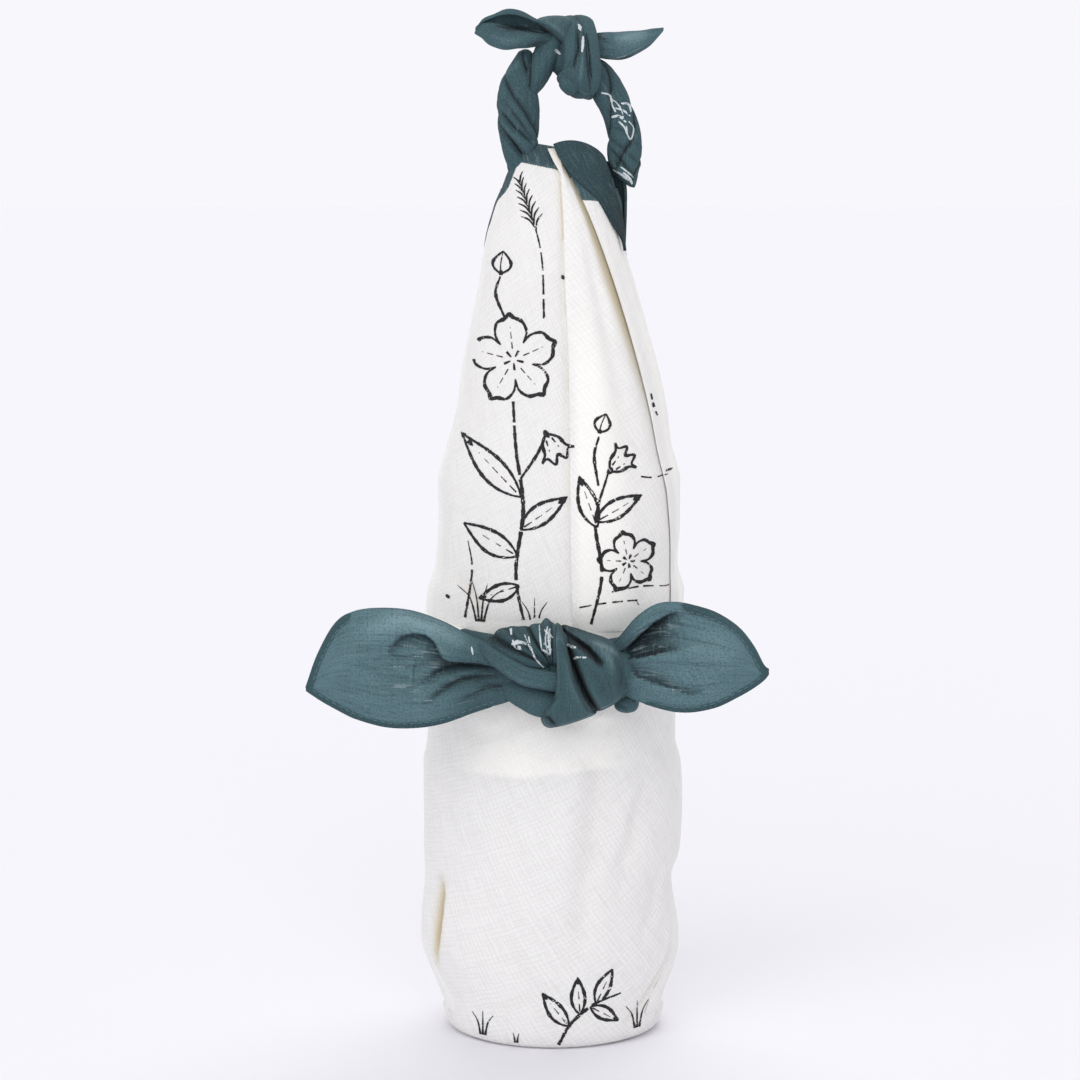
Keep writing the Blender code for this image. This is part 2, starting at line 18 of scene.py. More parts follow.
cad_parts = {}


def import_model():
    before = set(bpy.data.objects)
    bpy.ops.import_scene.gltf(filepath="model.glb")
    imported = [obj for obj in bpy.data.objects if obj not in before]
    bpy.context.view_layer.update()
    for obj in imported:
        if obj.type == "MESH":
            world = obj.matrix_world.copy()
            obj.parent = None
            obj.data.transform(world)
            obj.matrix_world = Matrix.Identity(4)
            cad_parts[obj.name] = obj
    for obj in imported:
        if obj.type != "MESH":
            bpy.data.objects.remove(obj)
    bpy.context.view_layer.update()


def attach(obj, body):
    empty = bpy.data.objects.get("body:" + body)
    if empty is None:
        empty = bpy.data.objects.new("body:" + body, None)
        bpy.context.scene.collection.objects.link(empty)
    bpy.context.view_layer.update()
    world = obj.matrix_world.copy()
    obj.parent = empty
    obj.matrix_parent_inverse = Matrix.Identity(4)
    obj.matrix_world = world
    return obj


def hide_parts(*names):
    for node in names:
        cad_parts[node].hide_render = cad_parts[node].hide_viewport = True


LOG = logging.getLogger("furoshiki")
MM = 0.001
NODE = "furoshiki_cloth"
SEED = 7
TAU = 2.0 * math.pi
TEAL, WHITE = 20.0, -20.0


# ---------------------------------------------------------------- numbers and curves


def linear(red: int, green: int, blue: int) -> tuple[float, float, float, float]:
    """A screen colour, 0 to 255, as the linear colour that a shader takes.

    Args:
        red, green, blue: the colour's parts.

    Returns:
        The linear colour with full alpha.
    """

    def part(value: int) -> float:
        share = value / 255.0
        return share / 12.92 if share <= 0.04045 else ((share + 0.055) / 1.055) ** 2.4

    return part(red), part(green), part(blue), 1.0


def smooth_step(low: float, high: float, at: np.ndarray) -> np.ndarray:
    """0 below low, 1 above high, and an easy curve between."""
    share = np.clip((np.asarray(at, float) - low) / (high - low), 0.0, 1.0)
    return share * share * (3.0 - 2.0 * share)


@dataclass(frozen=True)
class Smooth:
    """A smooth curve through values at rising keys, without overshoot."""

    keys: tuple[float, ...]
    values: tuple[float, ...]

    def __call__(self, at: np.ndarray | float) -> np.ndarray:
        """The values at the given places, held constant past both ends."""
        keys = np.asarray(self.keys, float)
        values = np.asarray(self.values, float)
        rise = np.diff(values) / np.diff(keys)
        slopes = np.empty_like(values)
        slopes[0], slopes[-1] = rise[0], rise[-1]
        before, after = rise[:-1], rise[1:]
        same = before * after > 0.0
        whole = np.where(same, before + after, 1.0)
        slopes[1:-1] = np.where(same, 2.0 * before * after / whole, 0.0)
        where = np.clip(np.asarray(at, float), keys[0], keys[-1])
        i = np.clip(np.searchsorted(keys, where, side="right") - 1, 0, len(keys) - 2)
        span = keys[i + 1] - keys[i]
        t = (where - keys[i]) / span
        a, b, gap = slopes[i] * span, slopes[i + 1] * span, values[i + 1] - values[i]
        return values[i] + t * (a + t * (3.0 * gap - 2.0 * a - b + t * (a + b - 2.0 * gap)))


def spline(points: np.ndarray, at: np.ndarray) -> np.ndarray:
    """A Catmull-Rom curve through points.

    Args:
        points: n places, each of any shape.
        at: where to read the curve, from 0 to n - 1.

    Returns:
        The curve's places, one for each value of at.
    """
    points = np.asarray(points, float)
    last = len(points) - 1
    at = np.clip(np.asarray(at, float), 0.0, last)
    i = np.minimum(at.astype(int), last - 1)
    t = (at - i).reshape((-1,) + (1,) * (points.ndim - 1))
    before = np.where((i > 0).reshape(t.shape), points[np.maximum(i - 1, 0)], 2.0 * points[i] - points[i + 1])
    beyond = (i + 2 <= last).reshape(t.shape)
    after = np.where(beyond, points[np.minimum(i + 2, last)], 2.0 * points[i + 1] - points[i])
    p, q = points[i], points[i + 1]
    return 0.5 * (
        2.0 * p + (q - before) * t + (2.0 * before - 5.0 * p + 4.0 * q - after) * t**2
        + (3.0 * p - before - 3.0 * q + after) * t**3
    )


def bell(at: np.ndarray, middle: float, width: float) -> np.ndarray:
    """1 at the middle and falling off to both sides."""
    return np.exp(-(((at - middle) / width) ** 2))


def grouped(size: int, rows: tuple) -> tuple:
    """Rows of numbers as rows of points with so many numbers each."""
    return tuple(tuple(row[k:k + size] for k in range(0, len(row), size)) for row in rows)


def evenly(stations: np.ndarray, count: int) -> np.ndarray:
    """So many places evenly over the curve through stations."""
    return spline(stations, np.linspace(0.0, len(stations) - 1.0, count))


def on_bias(arc: np.ndarray, up: np.ndarray, lean: float | np.ndarray) -> np.ndarray:
    """Where places lie on the flat cloth, whose yarns lean by an angle in radians."""
    return np.stack([arc * np.sin(lean) + up * np.cos(lean), up * np.sin(lean) - arc * np.cos(lean)], axis=2)


def over_rows(section: list[tuple[np.ndarray, np.ndarray]], z: np.ndarray,
              columns: int) -> tuple[np.ndarray, np.ndarray, np.ndarray]:
    """A folded layer's grid.

    Args:
        section: the arc and the lift of each station across it, at every height.
        z: the heights.
        columns: places across it.

    Returns:
        The arc, the lift and the height of each place.
    """
    grid = evenly(np.array([np.stack(pair, axis=-1) for pair in section]), columns).swapaxes(0, 1)
    return grid[..., 0], grid[..., 1], np.repeat(z[:, None], columns, axis=1)


@dataclass(frozen=True)
class Ripples:
    """Gentle uneven waves over a flat surface, the same on each run."""

    shortest: float
    longest: float
    lean: float = 0.0
    seed: int = SEED
    waves: int = 14

    def __call__(self, across: np.ndarray, along: np.ndarray) -> np.ndarray:
        """Heights from about -1 to 1 at places in millimetres; a lean near 1 draws the waves out."""
        chance = np.random.default_rng(self.seed)
        total = np.zeros(np.broadcast(across, along).shape)
        for _ in range(self.waves):
            turn = chance.uniform(0.0, math.pi)
            size = TAU / chance.uniform(self.shortest, self.longest)
            phase = chance.uniform(0.0, TAU)
            total = total + np.sin(size * (np.cos(turn) * across + (1.0 - self.lean) * np.sin(turn)
                                           * along) + phase)
        return total / math.sqrt(self.waves)


@dataclass(frozen=True)
class Line:
    """A soft trough, ridge or edge that runs along a line, and the painted shade that lies in it, below 0 a
    painted highlight.
    """

    points: tuple[tuple[float, float], ...]
    depth: float
    width: float
    shade: float = 0.0
    sharp: bool = False
    side: int = 0
    ends: float = 0.5

    def near(self, across: np.ndarray, along: np.ndarray) -> tuple[np.ndarray, np.ndarray, np.ndarray]:
        """Where places lie beside the line.

        Args:
            across, along: the places.

        Returns:
            Distance from the line, positive to its right, the share of its length, and how far past its ends.
        """
        best = np.full(across.shape, 1e9)
        signed, share = np.zeros(across.shape), np.zeros(across.shape)
        corners = np.asarray(self.points, float)
        steps = np.linalg.norm(np.diff(corners, axis=0), axis=1)
        run = np.concatenate([[0.0], np.cumsum(steps)])
        for k, step in enumerate(steps):
            ahead = (corners[k + 1] - corners[k]) / step
            dx, dz = across - corners[k][0], along - corners[k][1]
            t = np.clip(dx * ahead[0] + dz * ahead[1], 0.0, step)
            off = np.hypot(dx - t * ahead[0], dz - t * ahead[1])
            closer = off < best
            best = np.where(closer, off, best)
            signed = np.where(closer, np.sign(dz * ahead[0] - dx * ahead[1]) * -off, signed)
            share = np.where(closer, (run[k] + t) / run[-1], share)
        return signed, share, best

    def relief(self, across: np.ndarray, along: np.ndarray) -> np.ndarray:
        """How far the line moves the surface at places."""
        signed, share, off = self.near(across, along)
        fade = np.sin(np.pi * np.clip(share, 0.0, 1.0)) ** self.ends
        fade = np.where((share <= 0.0) | (share >= 1.0), 0.0, fade)
        if self.side:
            beside = self.side * signed
            shape = np.where(beside > 0.0, smooth_step(0.0, 0.8, beside) * np.exp(-beside / self.width), 0.0)
        elif self.sharp:
            shape = np.exp(-off / self.width)
        else:
            shape = np.exp(-((off / self.width) ** 2))
        return self.depth * shape * fade

    def light_and_shade(self, across: np.ndarray, along: np.ndarray, auto: float = 0.0) -> np.ndarray:
        """How much painted shade lies beside the line: up to 1 in a fold, and below 0 a painted highlight on
        a lit ridge.

        Args:
            across, along: the places.
            auto: the depth at which a line without a shade of its own is fully shaded, or 0 for none.

        Returns:
            The shade at each place.
        """
        strength = self.shade
        if strength == 0.0 and auto:
            strength = min(0.85, max(-0.35, -self.depth / auto))
        if strength == 0.0:
            return np.zeros(across.shape)
        signed, share, off = self.near(across, along)
        fade = np.sin(np.pi * np.clip(share, 0.03, 0.97)) ** 0.4
        beside = np.where(self.side * signed >= 0.0, 1.0, 0.15) if self.side else 1.0
        return strength * np.exp(-((off / (1.15 * self.width)) ** 1.3)) * fade * beside


SHARP = 2


def creases(*rows: tuple[float, ...]) -> tuple[Line, ...]:
    """Lines from a table.

    Args:
        rows: depth, width, shade, ends, kind, and then each point's x and height. The shade is painted shade,
            and below 0 a painted highlight. The kind is 0 for a soft line, SHARP for a sharp one, and 1 or -1
            for an edge that falls off on that side only.

    Returns:
        The lines.
    """
    made = []
    for depth, width, shade, ends, kind, *places in rows:
        side = kind if kind in (1, -1) else 0
        made.append(Line(grouped(2, (places,))[0], depth, width, shade, kind == SHARP, side, ends))
    return tuple(made)


def lay(lines: tuple[Line, ...] | list[Line], across: np.ndarray, along: np.ndarray,
        auto: float = 0.0) -> tuple[np.ndarray, np.ndarray]:
    """Lay lines on a surface.

    Args:
        lines: the folds and ridges.
        across, along: the places.
        auto: as for Line.tint.

    Returns:
        How far they move the surface together, and their painted shade and highlight, of which the strongest
        count.
    """
    relief, dark, light = (np.zeros(across.shape) for _ in range(3))
    for line in lines:
        relief = relief + line.relief(across, along)
        light_and_shade = line.light_and_shade(across, along, auto)
        dark, light = np.maximum(dark, light_and_shade), np.minimum(light, light_and_shade)
    return relief, dark + light


# ---------------------------------------------------------------- shader maths


class Socket:
    """A shader value or link, on which Python's operators add Math nodes."""

    def __init__(self, shader: Shader, link: bpy.types.NodeSocket) -> None:
        """Wrap an output socket of the shader."""
        self.shader = shader
        self.link = link

    def _maths(self, operation: str, first: Socket | float, second: Socket | float) -> Socket:
        return self.shader.add("ShaderNodeMath", {"operation": operation}, {0: first, 1: second})

    def __add__(self, other: Socket | float) -> Socket:
        """This plus other."""
        return self._maths("ADD", self, other)

    __radd__ = __add__

    def __mul__(self, other: Socket | float) -> Socket:
        """This times other."""
        return self._maths("MULTIPLY", self, other)

    __rmul__ = __mul__

    def __sub__(self, other: Socket | float) -> Socket:
        """This minus other."""
        return self._maths("SUBTRACT", self, other)

    def __rsub__(self, other: float) -> Socket:
        """Other minus this."""
        return self._maths("SUBTRACT", other, self)

    def __truediv__(self, other: Socket | float) -> Socket:
        """This over other."""
        return self._maths("DIVIDE", self, other)

    def __pow__(self, other: float) -> Socket:
        """This to the power of other."""
        return self._maths("POWER", self, other)

    def highest(self, other: Socket | float) -> Socket:
        """The larger of this and other."""
        return self._maths("MAXIMUM", self, other)

    def wave(self) -> Socket:
        """Its sine."""
        return self.shader.add("ShaderNodeMath", {"operation": "SINE"}, {0: self})

    def between(self, low: float, high: float) -> Socket:
        """0 below low, 1 above high, and an easy curve between."""
        return self.shader.add(
            "ShaderNodeMapRange",
            {"interpolation_type": "SMOOTHSTEP"},
            {"Value": self, "From Min": low, "From Max": high},
        )


class Shader:
    """The node tree of a material or a world, filled through one method."""

    def __init__(self, name: str, sky: bool = False) -> None:
        """Start an empty material, or an empty world."""
        self.material = (bpy.data.worlds if sky else bpy.data.materials).new(name)
        self.material.use_nodes = True
        self.tree = self.material.node_tree
        self.tree.nodes.clear()

    def add(self, kind: str, settings: dict | None = None, values: dict | None = None,
            out: int | str = 0) -> Socket:
        """Add a node.

        Args:
            kind: the node's type.
            settings: its own settings, which are set first.
            values: numbers, colours or links for its inputs, by name or index.
            out: which output to give back.

        Returns:
            The output, wrapped.
        """
        node = self.tree.nodes.new(kind)
        for key, value in (settings or {}).items():
            setattr(node, key, value)
        for key, value in (values or {}).items():
            if isinstance(value, Socket):
                self.tree.links.new(value.link, node.inputs[key])
            else:
                node.inputs[key].default_value = value
        return Socket(self, node.outputs[out]) if len(node.outputs) else Socket(self, None)

    def blend(self, share: Socket | float, first: Socket | tuple, second: Socket | tuple) -> Socket:
        """Mix two colours."""
        return self.add(
            "ShaderNodeMix", {"data_type": "RGBA"}, {"Factor": share, "A": first, "B": second}, "Result"
        )

    def stretched(self, place: Socket, across: float, along: float, turn: float = 0.0) -> Socket:
        """A place in millimetres scaled across and along, for uneven threads."""
        return self.add(
            "ShaderNodeMapping",
            {"vector_type": "POINT"},
            {"Vector": place, "Scale": (across, along, 1.0), "Rotation": (0.0, 0.0, turn)},
        )

    def noise(self, place: Socket, size: float = 1.0, detail: float = 1.0, rough: float = 0.5) -> Socket:
        """Smooth noise from 0 to 1 over a flat place."""
        return self.add(
            "ShaderNodeTexNoise",
            {"noise_dimensions": "2D", "normalize": True},
            {"Vector": place, "Scale": size, "Detail": detail, "Roughness": rough},
            "Fac",
        )

    def reading(self, name: str) -> Socket:
        """A number stored on the mesh's points."""
        return self.add("ShaderNodeAttribute", {"attribute_name": name, "attribute_type": "GEOMETRY"}, {},
                        "Fac")

    def finish(self, surface: Socket, kind: str = "ShaderNodeOutputMaterial") -> bpy.types.Material:
        """Link the surface to the output and give the material or world."""
        self.add(kind, {}, {"Surface": surface})
        return self.material


@dataclass(frozen=True)
class SlubCotton:
    """Plain-woven cotton of uneven slub yarn, off-white with a deep teal border."""

    name: str = "slub_cotton"
    doubled: tuple = linear(252, 251, 246)
    single: tuple = linear(240, 239, 237)
    gap: tuple = linear(202, 200, 198)
    # The next colour is painted shade for the folds of the off-white.
    fold_shade_tan: tuple = linear(196, 181, 142)
    teal_dense: tuple = linear(55, 81, 87)
    teal_sheer: tuple = linear(90, 119, 126)
    teal_gap: tuple = linear(43, 56, 60)
    teal_slub: tuple = linear(146, 164, 166)
    # The next three colours are painted light: shade in the teal's folds, a near-black shadow in its deepest
    # creases, and a highlight on its lit ridges.
    teal_fold_shade: tuple = linear(25, 35, 39)
    teal_crease_shadow: tuple = linear(8, 12, 15)
    teal_lit: tuple = linear(128, 156, 162)
    yarn: float = 0.62
    roughness: float = 0.86
    sheen: float = 0.03
    slub_pitch: float = 1.45

    def make(self) -> bpy.types.Material:
        """Build the material.

        Returns:
            A material that reads the flat cloth's coordinates and the border, layers and painted shade on the
            points.
        """
        s = Shader(self.name)
        flat = s.add("ShaderNodeUVMap", {"uv_map": "flat"}, {}, "UV")
        place = s.add("ShaderNodeVectorMath", {"operation": "SCALE"}, {0: flat, "Scale": 1.0 / MM}, "Vector")
        u = s.add("ShaderNodeSeparateXYZ", {}, {0: place}, "X")
        v = Socket(s, u.link.node.outputs["Y"])
        wander = s.noise(s.stretched(place, 0.11, 0.11))
        warp = s.noise(s.stretched(place, 1.05, 0.042), 1.0, 2.0, 0.7)
        weft = s.noise(s.stretched(place, 0.050, 1.15), 1.0, 2.0, 0.7)
        dash_warp = s.noise(s.stretched(place, 1.9, 0.17), 1.0, 0.5)
        dash_weft = s.noise(s.stretched(place, 0.22, 2.0), 1.0, 0.5)
        over = (u * (TAU / self.yarn) + wander * 9.0).wave()
        under = (v * (TAU / (1.07 * self.yarn)) + wander * 8.0).wave()
        weave = over * 0.5 + under * 0.5
        slub_over = (u * (TAU / self.slub_pitch) + wander * 5.0).wave() * warp.between(0.30, 0.62)
        slub_under = (v * (TAU / (1.1 * self.slub_pitch)) + wander * 6.0).wave() * weft.between(0.34, 0.66)
        rib = slub_over.highest(slub_under).between(0.15, 0.95)
        patchy = s.noise(s.stretched(place, 0.05, 0.06), 1.0, 2.0)
        layers = s.reading("layers")
        lines = (warp - 0.5) * 2.4 + (weft - 0.5) * 1.8
        low = lines.between(0.10, -0.75)
        # Painted shade from the points: brownish in the off-white's folds, dark in the teal's, and below 0 a
        # painted highlight on the teal's ridges.
        shade = s.reading("shade")
        fold, ridge = shade.between(0.0, 1.0), (shade * -1.0).between(0.0, 1.0)
        body = s.blend((layers + (patchy - 0.5) * 0.3).between(0.05, 0.95), self.single, self.doubled)
        thin = low * (0.30 - layers * 0.22) + rib * (0.27 - layers * 0.18) + weave.between(0.2, -0.8) * 0.05
        cream = s.blend(thin, body, self.gap)
        cream = s.blend(fold, cream, self.fold_shade_tan)
        rows = (warp - 0.5) * 2.2 + (weft - 0.5) * 0.7
        speck = s.noise(s.stretched(place, 2.6, 1.3), 1.0, 1.0)
        blue = s.blend(layers + (patchy - 0.5) * 0.35, self.teal_sheer, self.teal_dense)
        # Painted shade in the teal's folds and painted highlight on its ridges.
        blue = s.blend(ridge, s.blend(fold, blue, self.teal_fold_shade), self.teal_lit)
        low_row = rows.between(0.10, -0.70) * (0.34 - layers * 0.14)
        blue = s.blend(low_row + weave.between(0.1, -0.9) * 0.12 + speck.between(0.50, 0.28) * 0.30, blue,
                       self.teal_gap)
        dash = dash_warp.between(0.55, 0.70) * rows.between(-0.1,
                                                            0.4).highest(0.3) + dash_weft.between(0.64,
                                                                                                  0.78) * 0.2
        # The slub dashes show most where painted shade lies.
        shown = (fold * (fold * -1.0 + 1.1) * 3.4 + 0.10) * (0.85 - layers * 0.80)
        blue = s.blend(dash * shown + speck.between(0.58, 0.76) * 0.10, blue, self.teal_slub)
        # Near-black painted shadow in the deepest creases.
        blue = s.blend(shade.between(1.0, 1.9), blue, self.teal_crease_shadow)
        border = (s.reading("teal") + (dash_warp - 0.5) * 0.5).between(-0.15, 0.15)
        colour = s.blend(border, cream, blue)
        height = weave * 0.25 + lines * 0.45 + dash_warp * 0.5 + dash_weft * 0.35
        bump = s.add("ShaderNodeBump", {}, {"Strength": 0.5, "Distance": 0.00016, "Height": height}, "Normal")
        surface = s.add(
            "ShaderNodeBsdfPrincipled",
            {},
            {
                "Base Color": colour,
                "Roughness": self.roughness,
                "Normal": bump,
                "Sheen Weight": self.sheen,
                "Sheen Roughness": 0.5,
                "Specular IOR Level": 0.2,
            },
        )
        return s.finish(surface)


@dataclass(frozen=True)
class PrintInk:
    """Pigment that a brush-like screen leaves on the yarns, broken over the gaps."""

    name: str
    colour: tuple
    dry: float = 0.5
    cover: float = 1.0

    def make(self) -> bpy.types.Material:
        """Build the material.

        Returns:
            Matt ink, with gaps where the yarns lie low.
        """
        s = Shader(self.name)
        flat = s.add("ShaderNodeUVMap", {"uv_map": "flat"}, {}, "UV")
        place = s.add("ShaderNodeVectorMath", {"operation": "SCALE"}, {0: flat, "Scale": 1.0 / MM}, "Vector")
        warp = s.noise(s.stretched(place, 1.5, 0.14), 1.0, 1.0)
        weft = s.noise(s.stretched(place, 0.13, 1.6), 1.0, 1.0)
        wear = s.noise(s.stretched(place, 0.12, 0.12), 1.0, 2.0)
        bare = (warp * 0.5 + weft * 0.5 + wear * 0.35 * self.dry).between(0.82, 0.70) * self.cover
        shade = s.blend(wear, self.colour,
                        tuple(min(1.0, c * 1.35 + 0.006) for c in self.colour[:3]) + (1.0,))
        surface = s.add(
            "ShaderNodeBsdfPrincipled",
            {},
            {"Base Color": shade, "Roughness": 0.75, "Alpha": bare, "Specular IOR Level": 0.2},
        )
        return s.finish(surface)


@dataclass(frozen=True)
class SewingThread:
    """Spun polyester thread of the hem's stitches."""

    name: str
    colour: tuple

    def make(self) -> bpy.types.Material:
        """Build the material.

        Returns:
            Thread with a fine slanting twist.
        """
        s = Shader(self.name)
        place = s.add("ShaderNodeTexCoord", {}, {}, "Object")
        ply = s.add(
            "ShaderNodeTexNoise", {"noise_dimensions": "3D"},
            {"Vector": place, "Scale": 2600.0, "Detail": 1.0}, "Fac"
        )
        shade = s.blend(ply, self.colour, tuple(0.7 * c for c in self.colour[:3]) + (1.0,))
        bump = s.add("ShaderNodeBump", {}, {"Strength": 0.4, "Distance": 0.0001, "Height": ply}, "Normal")
        surface = s.add(
            "ShaderNodeBsdfPrincipled", {}, {"Base Color": shade, "Roughness": 0.6, "Normal": bump}
        )
        return s.finish(surface)


@dataclass(frozen=True)
class PaleFloor:
    """Matt studio paper."""

    colour: tuple = linear(243, 242, 247)

    def make(self) -> bpy.types.Material:
        """Build the material."""
        s = Shader("pale_floor")
        place = s.add("ShaderNodeTexCoord", {}, {}, "Object")
        grain = s.add("ShaderNodeTexNoise", {}, {"Vector": place, "Scale": 900.0, "Detail": 2.0}, "Fac")
        bump = s.add("ShaderNodeBump", {}, {"Strength": 0.05, "Distance": 0.0001, "Height": grain}, "Normal")
        surface = s.add(
            "ShaderNodeBsdfPrincipled",
            {},
            {"Base Color": self.colour, "Roughness": 0.9, "Normal": bump, "Specular IOR Level": 0.0},
        )
        return s.finish(surface)


@dataclass
class Finishes:
    """The finishes that the pieces share."""

    cotton: bpy.types.Material = field(default_factory=lambda: SlubCotton().make())
    black: bpy.types.Material = field(
        default_factory=lambda: PrintInk("black_print", linear(38, 37, 40), 0.6).make()
    )
    white: bpy.types.Material = field(
        default_factory=lambda: PrintInk("white_print", linear(214, 222, 226), 0.8, 0.78).make()
    )
    thread: bpy.types.Material = field(
        default_factory=lambda: SewingThread("teal_thread", linear(92, 124, 134)).make()
    )


# ---------------------------------------------------------------- meshes


@dataclass
class Patch:
    """A grid of points with the flat cloth's coordinates and what varies over it.

    Attributes:
        points: rows of columns of places, in millimetres.
        flat: the same places on the flat cloth. A closed patch has one more column here.
        teal: distance inside the teal border, negative on the off-white.
        layers: 0 for one layer over the dark bottle, 1 for doubled cloth.
        shade: painted shade, up to 1 in a fold, yellowish brown on the off-white and dark on the teal, and
            below 0 a painted highlight on a lit ridge.
        closed: whether the last column meets the first.
        capped: whether the first and last rows are closed.
        merged: whether points that coincide become one.
    """

    points: np.ndarray
    flat: np.ndarray | None = None
    teal: np.ndarray | float = 20.0
    layers: np.ndarray | float = 0.6
    shade: np.ndarray | float = 0.0
    closed: bool = False
    capped: bool = False
    merged: bool = False

    def lengths(self) -> tuple[float, float]:
        """The mean width and length over the surface."""
        loop = np.concatenate([self.points, self.points[:, :1]], axis=1) if self.closed else self.points
        wide = np.linalg.norm(np.diff(loop, axis=1), axis=2).sum(axis=1).mean()
        long = np.linalg.norm(np.diff(self.points, axis=0), axis=2).sum(axis=0).mean()
        return float(wide), float(long)

    def coordinates(self) -> np.ndarray:
        """The flat coordinates, laid out by mean lengths where none are given."""
        if self.flat is not None:
            return self.flat
        rows, columns = self.points.shape[:2]
        wide, long = self.lengths()
        u = np.linspace(0.0, wide, columns + (1 if self.closed else 0))
        v = np.linspace(0.0, long, rows)
        grid_u, grid_v = np.meshgrid(u, v)
        return np.stack([grid_u, grid_v], axis=2)

    def indices(self) -> tuple[list[tuple[int, ...]], list[tuple[int, int]]]:
        """The grid's faces, and for each corner its row and column in the flat grid."""
        rows, columns = self.points.shape[:2]
        faces, corners = [], []
        for r in range(rows - 1):
            for c in range(columns if self.closed else columns - 1):
                n = (c + 1) % columns
                faces.append((r * columns + c, r * columns + n, (r + 1) * columns + n, (r + 1) * columns + c))
                corners += [(r, c), (r, c + 1), (r + 1, c + 1), (r + 1, c)]
        if self.capped:
            for r, turned in ((0, True), (rows - 1, False)):
                ring = [r * columns + c for c in range(columns)]
                order = range(columns - 1, -1, -1) if turned else range(columns)
                faces.append(tuple(ring[c] for c in order))
                corners += [(r, c) for c in order]
        return faces, corners


def paint(item: bpy.types.Object, name: str, values: np.ndarray) -> None:
    """Store a number on each point of a mesh."""
    layer = item.data.attributes.new(name, "FLOAT", "POINT")
    layer.data.foreach_set("value", np.asarray(values, np.float32).ravel())


class Tailor:
    def __init__(self, finishes: Finishes) -> None:
        """Keep the finishes and start the list of what is made."""
        self.finishes = finishes
        self.made: list[bpy.types.Object] = []

    def mesh(self, name: str, patch: Patch, material: bpy.types.Material) -> bpy.types.Object:
        """A smooth mesh object of a patch."""
        rows, columns = patch.points.shape[:2]
        faces, corners = patch.indices()
        mesh = bpy.data.meshes.new(name)
        mesh.from_pydata((patch.points.reshape(-1, 3) * MM).tolist(), [], faces)
        item = bpy.data.objects.new(name, mesh)
        bpy.context.scene.collection.objects.link(item)
        flat = patch.coordinates() * MM
        uv = mesh.uv_layers.new(name="flat")
        picks = np.array(corners)
        picks[:, 1] = np.minimum(picks[:, 1], flat.shape[1] - 1)
        uv.data.foreach_set("uv", flat[picks[:, 0], picks[:, 1]].astype(np.float32).ravel())
        for key in ("teal", "layers", "shade"):
            paint(item, key, np.broadcast_to(getattr(patch, key), (rows, columns)))
        if patch.merged:
            edit = bmesh.new()
            edit.from_mesh(mesh)
            bmesh.ops.remove_doubles(edit, verts=edit.verts, dist=0.002 * MM)
            edit.to_mesh(mesh)
            edit.free()
        mesh.polygons.foreach_set("use_smooth", [True] * len(mesh.polygons))
        mesh.materials.append(material)
        mesh.update()
        return item

    def sheet(
        self,
        name: str,
        patch: Patch,
        thickness: float = 0.0,
    ) -> bpy.types.Object:
        """A sheet of cloth.

        Args:
            name: the piece's name.
            patch: its grid.
            thickness: the cloth's own, in millimetres, or 0 for a bare surface.

        Returns:
            The object.
        """
        item = self.mesh(name, patch, self.finishes.cotton)
        if thickness:
            solid = item.modifiers.new("thickness", "SOLIDIFY")
            solid.thickness = thickness * MM
            solid.offset = 0.0
        wide, long = patch.lengths()
        if patch.closed and patch.capped:
            wide *= 0.5
        area = sum(face.area for face in item.data.polygons) * (0.5 if patch.closed and patch.capped else 1.0)
        width, length = max(0.010, wide * MM), max(0.010, long * MM)
        fitted = min(1.0, max(0.3, area / (width * length)))
        fitted * width * length
        self.dress(item)
        return item

    def trim(self, item: bpy.types.Object) -> bpy.types.Object:
        """A small piece on the cloth, such as its print or its stitches."""
        self.dress(item)
        return item

    def dress(self, item: bpy.types.Object) -> None:
        """Ride and replace a piece."""
        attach(item, "root")
        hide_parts(NODE)
        self.made.append(item)
        LOG.info("%s: %d faces", item.name, len(item.data.polygons))


def cage(rails: list[list[tuple[float, float, float]]], along: int, across: int) -> np.ndarray:
    """A smooth grid through rails that run side by side.

    Args:
        rails: each rail's places, all with the same number.
        along: rows over the rails' length.
        across: columns over the rails.

    Returns:
        Rows of columns of places.
    """
    points = np.asarray(rails, float).swapaxes(0, 1)
    rows = evenly(points, along)
    columns = spline(rows.swapaxes(0, 1), np.linspace(0.0, points.shape[1] - 1.0, across))
    return columns.swapaxes(0, 1)


def outwards(points: np.ndarray, closed: bool = False) -> np.ndarray:
    """Unit normals of a grid."""
    along = np.gradient(points, axis=0)
    if closed:
        across = np.roll(points, -1, axis=1) - np.roll(points, 1, axis=1)
    else:
        across = np.gradient(points, axis=1)
    normal = np.cross(across, along)
    return normal / np.maximum(np.linalg.norm(normal, axis=2, keepdims=True), 1e-9)


# ---------------------------------------------------------------- the wrapped body


class Side(Enum):
    """Which side of the wrap, seen from the front."""

    LEFT = -1
    RIGHT = 1


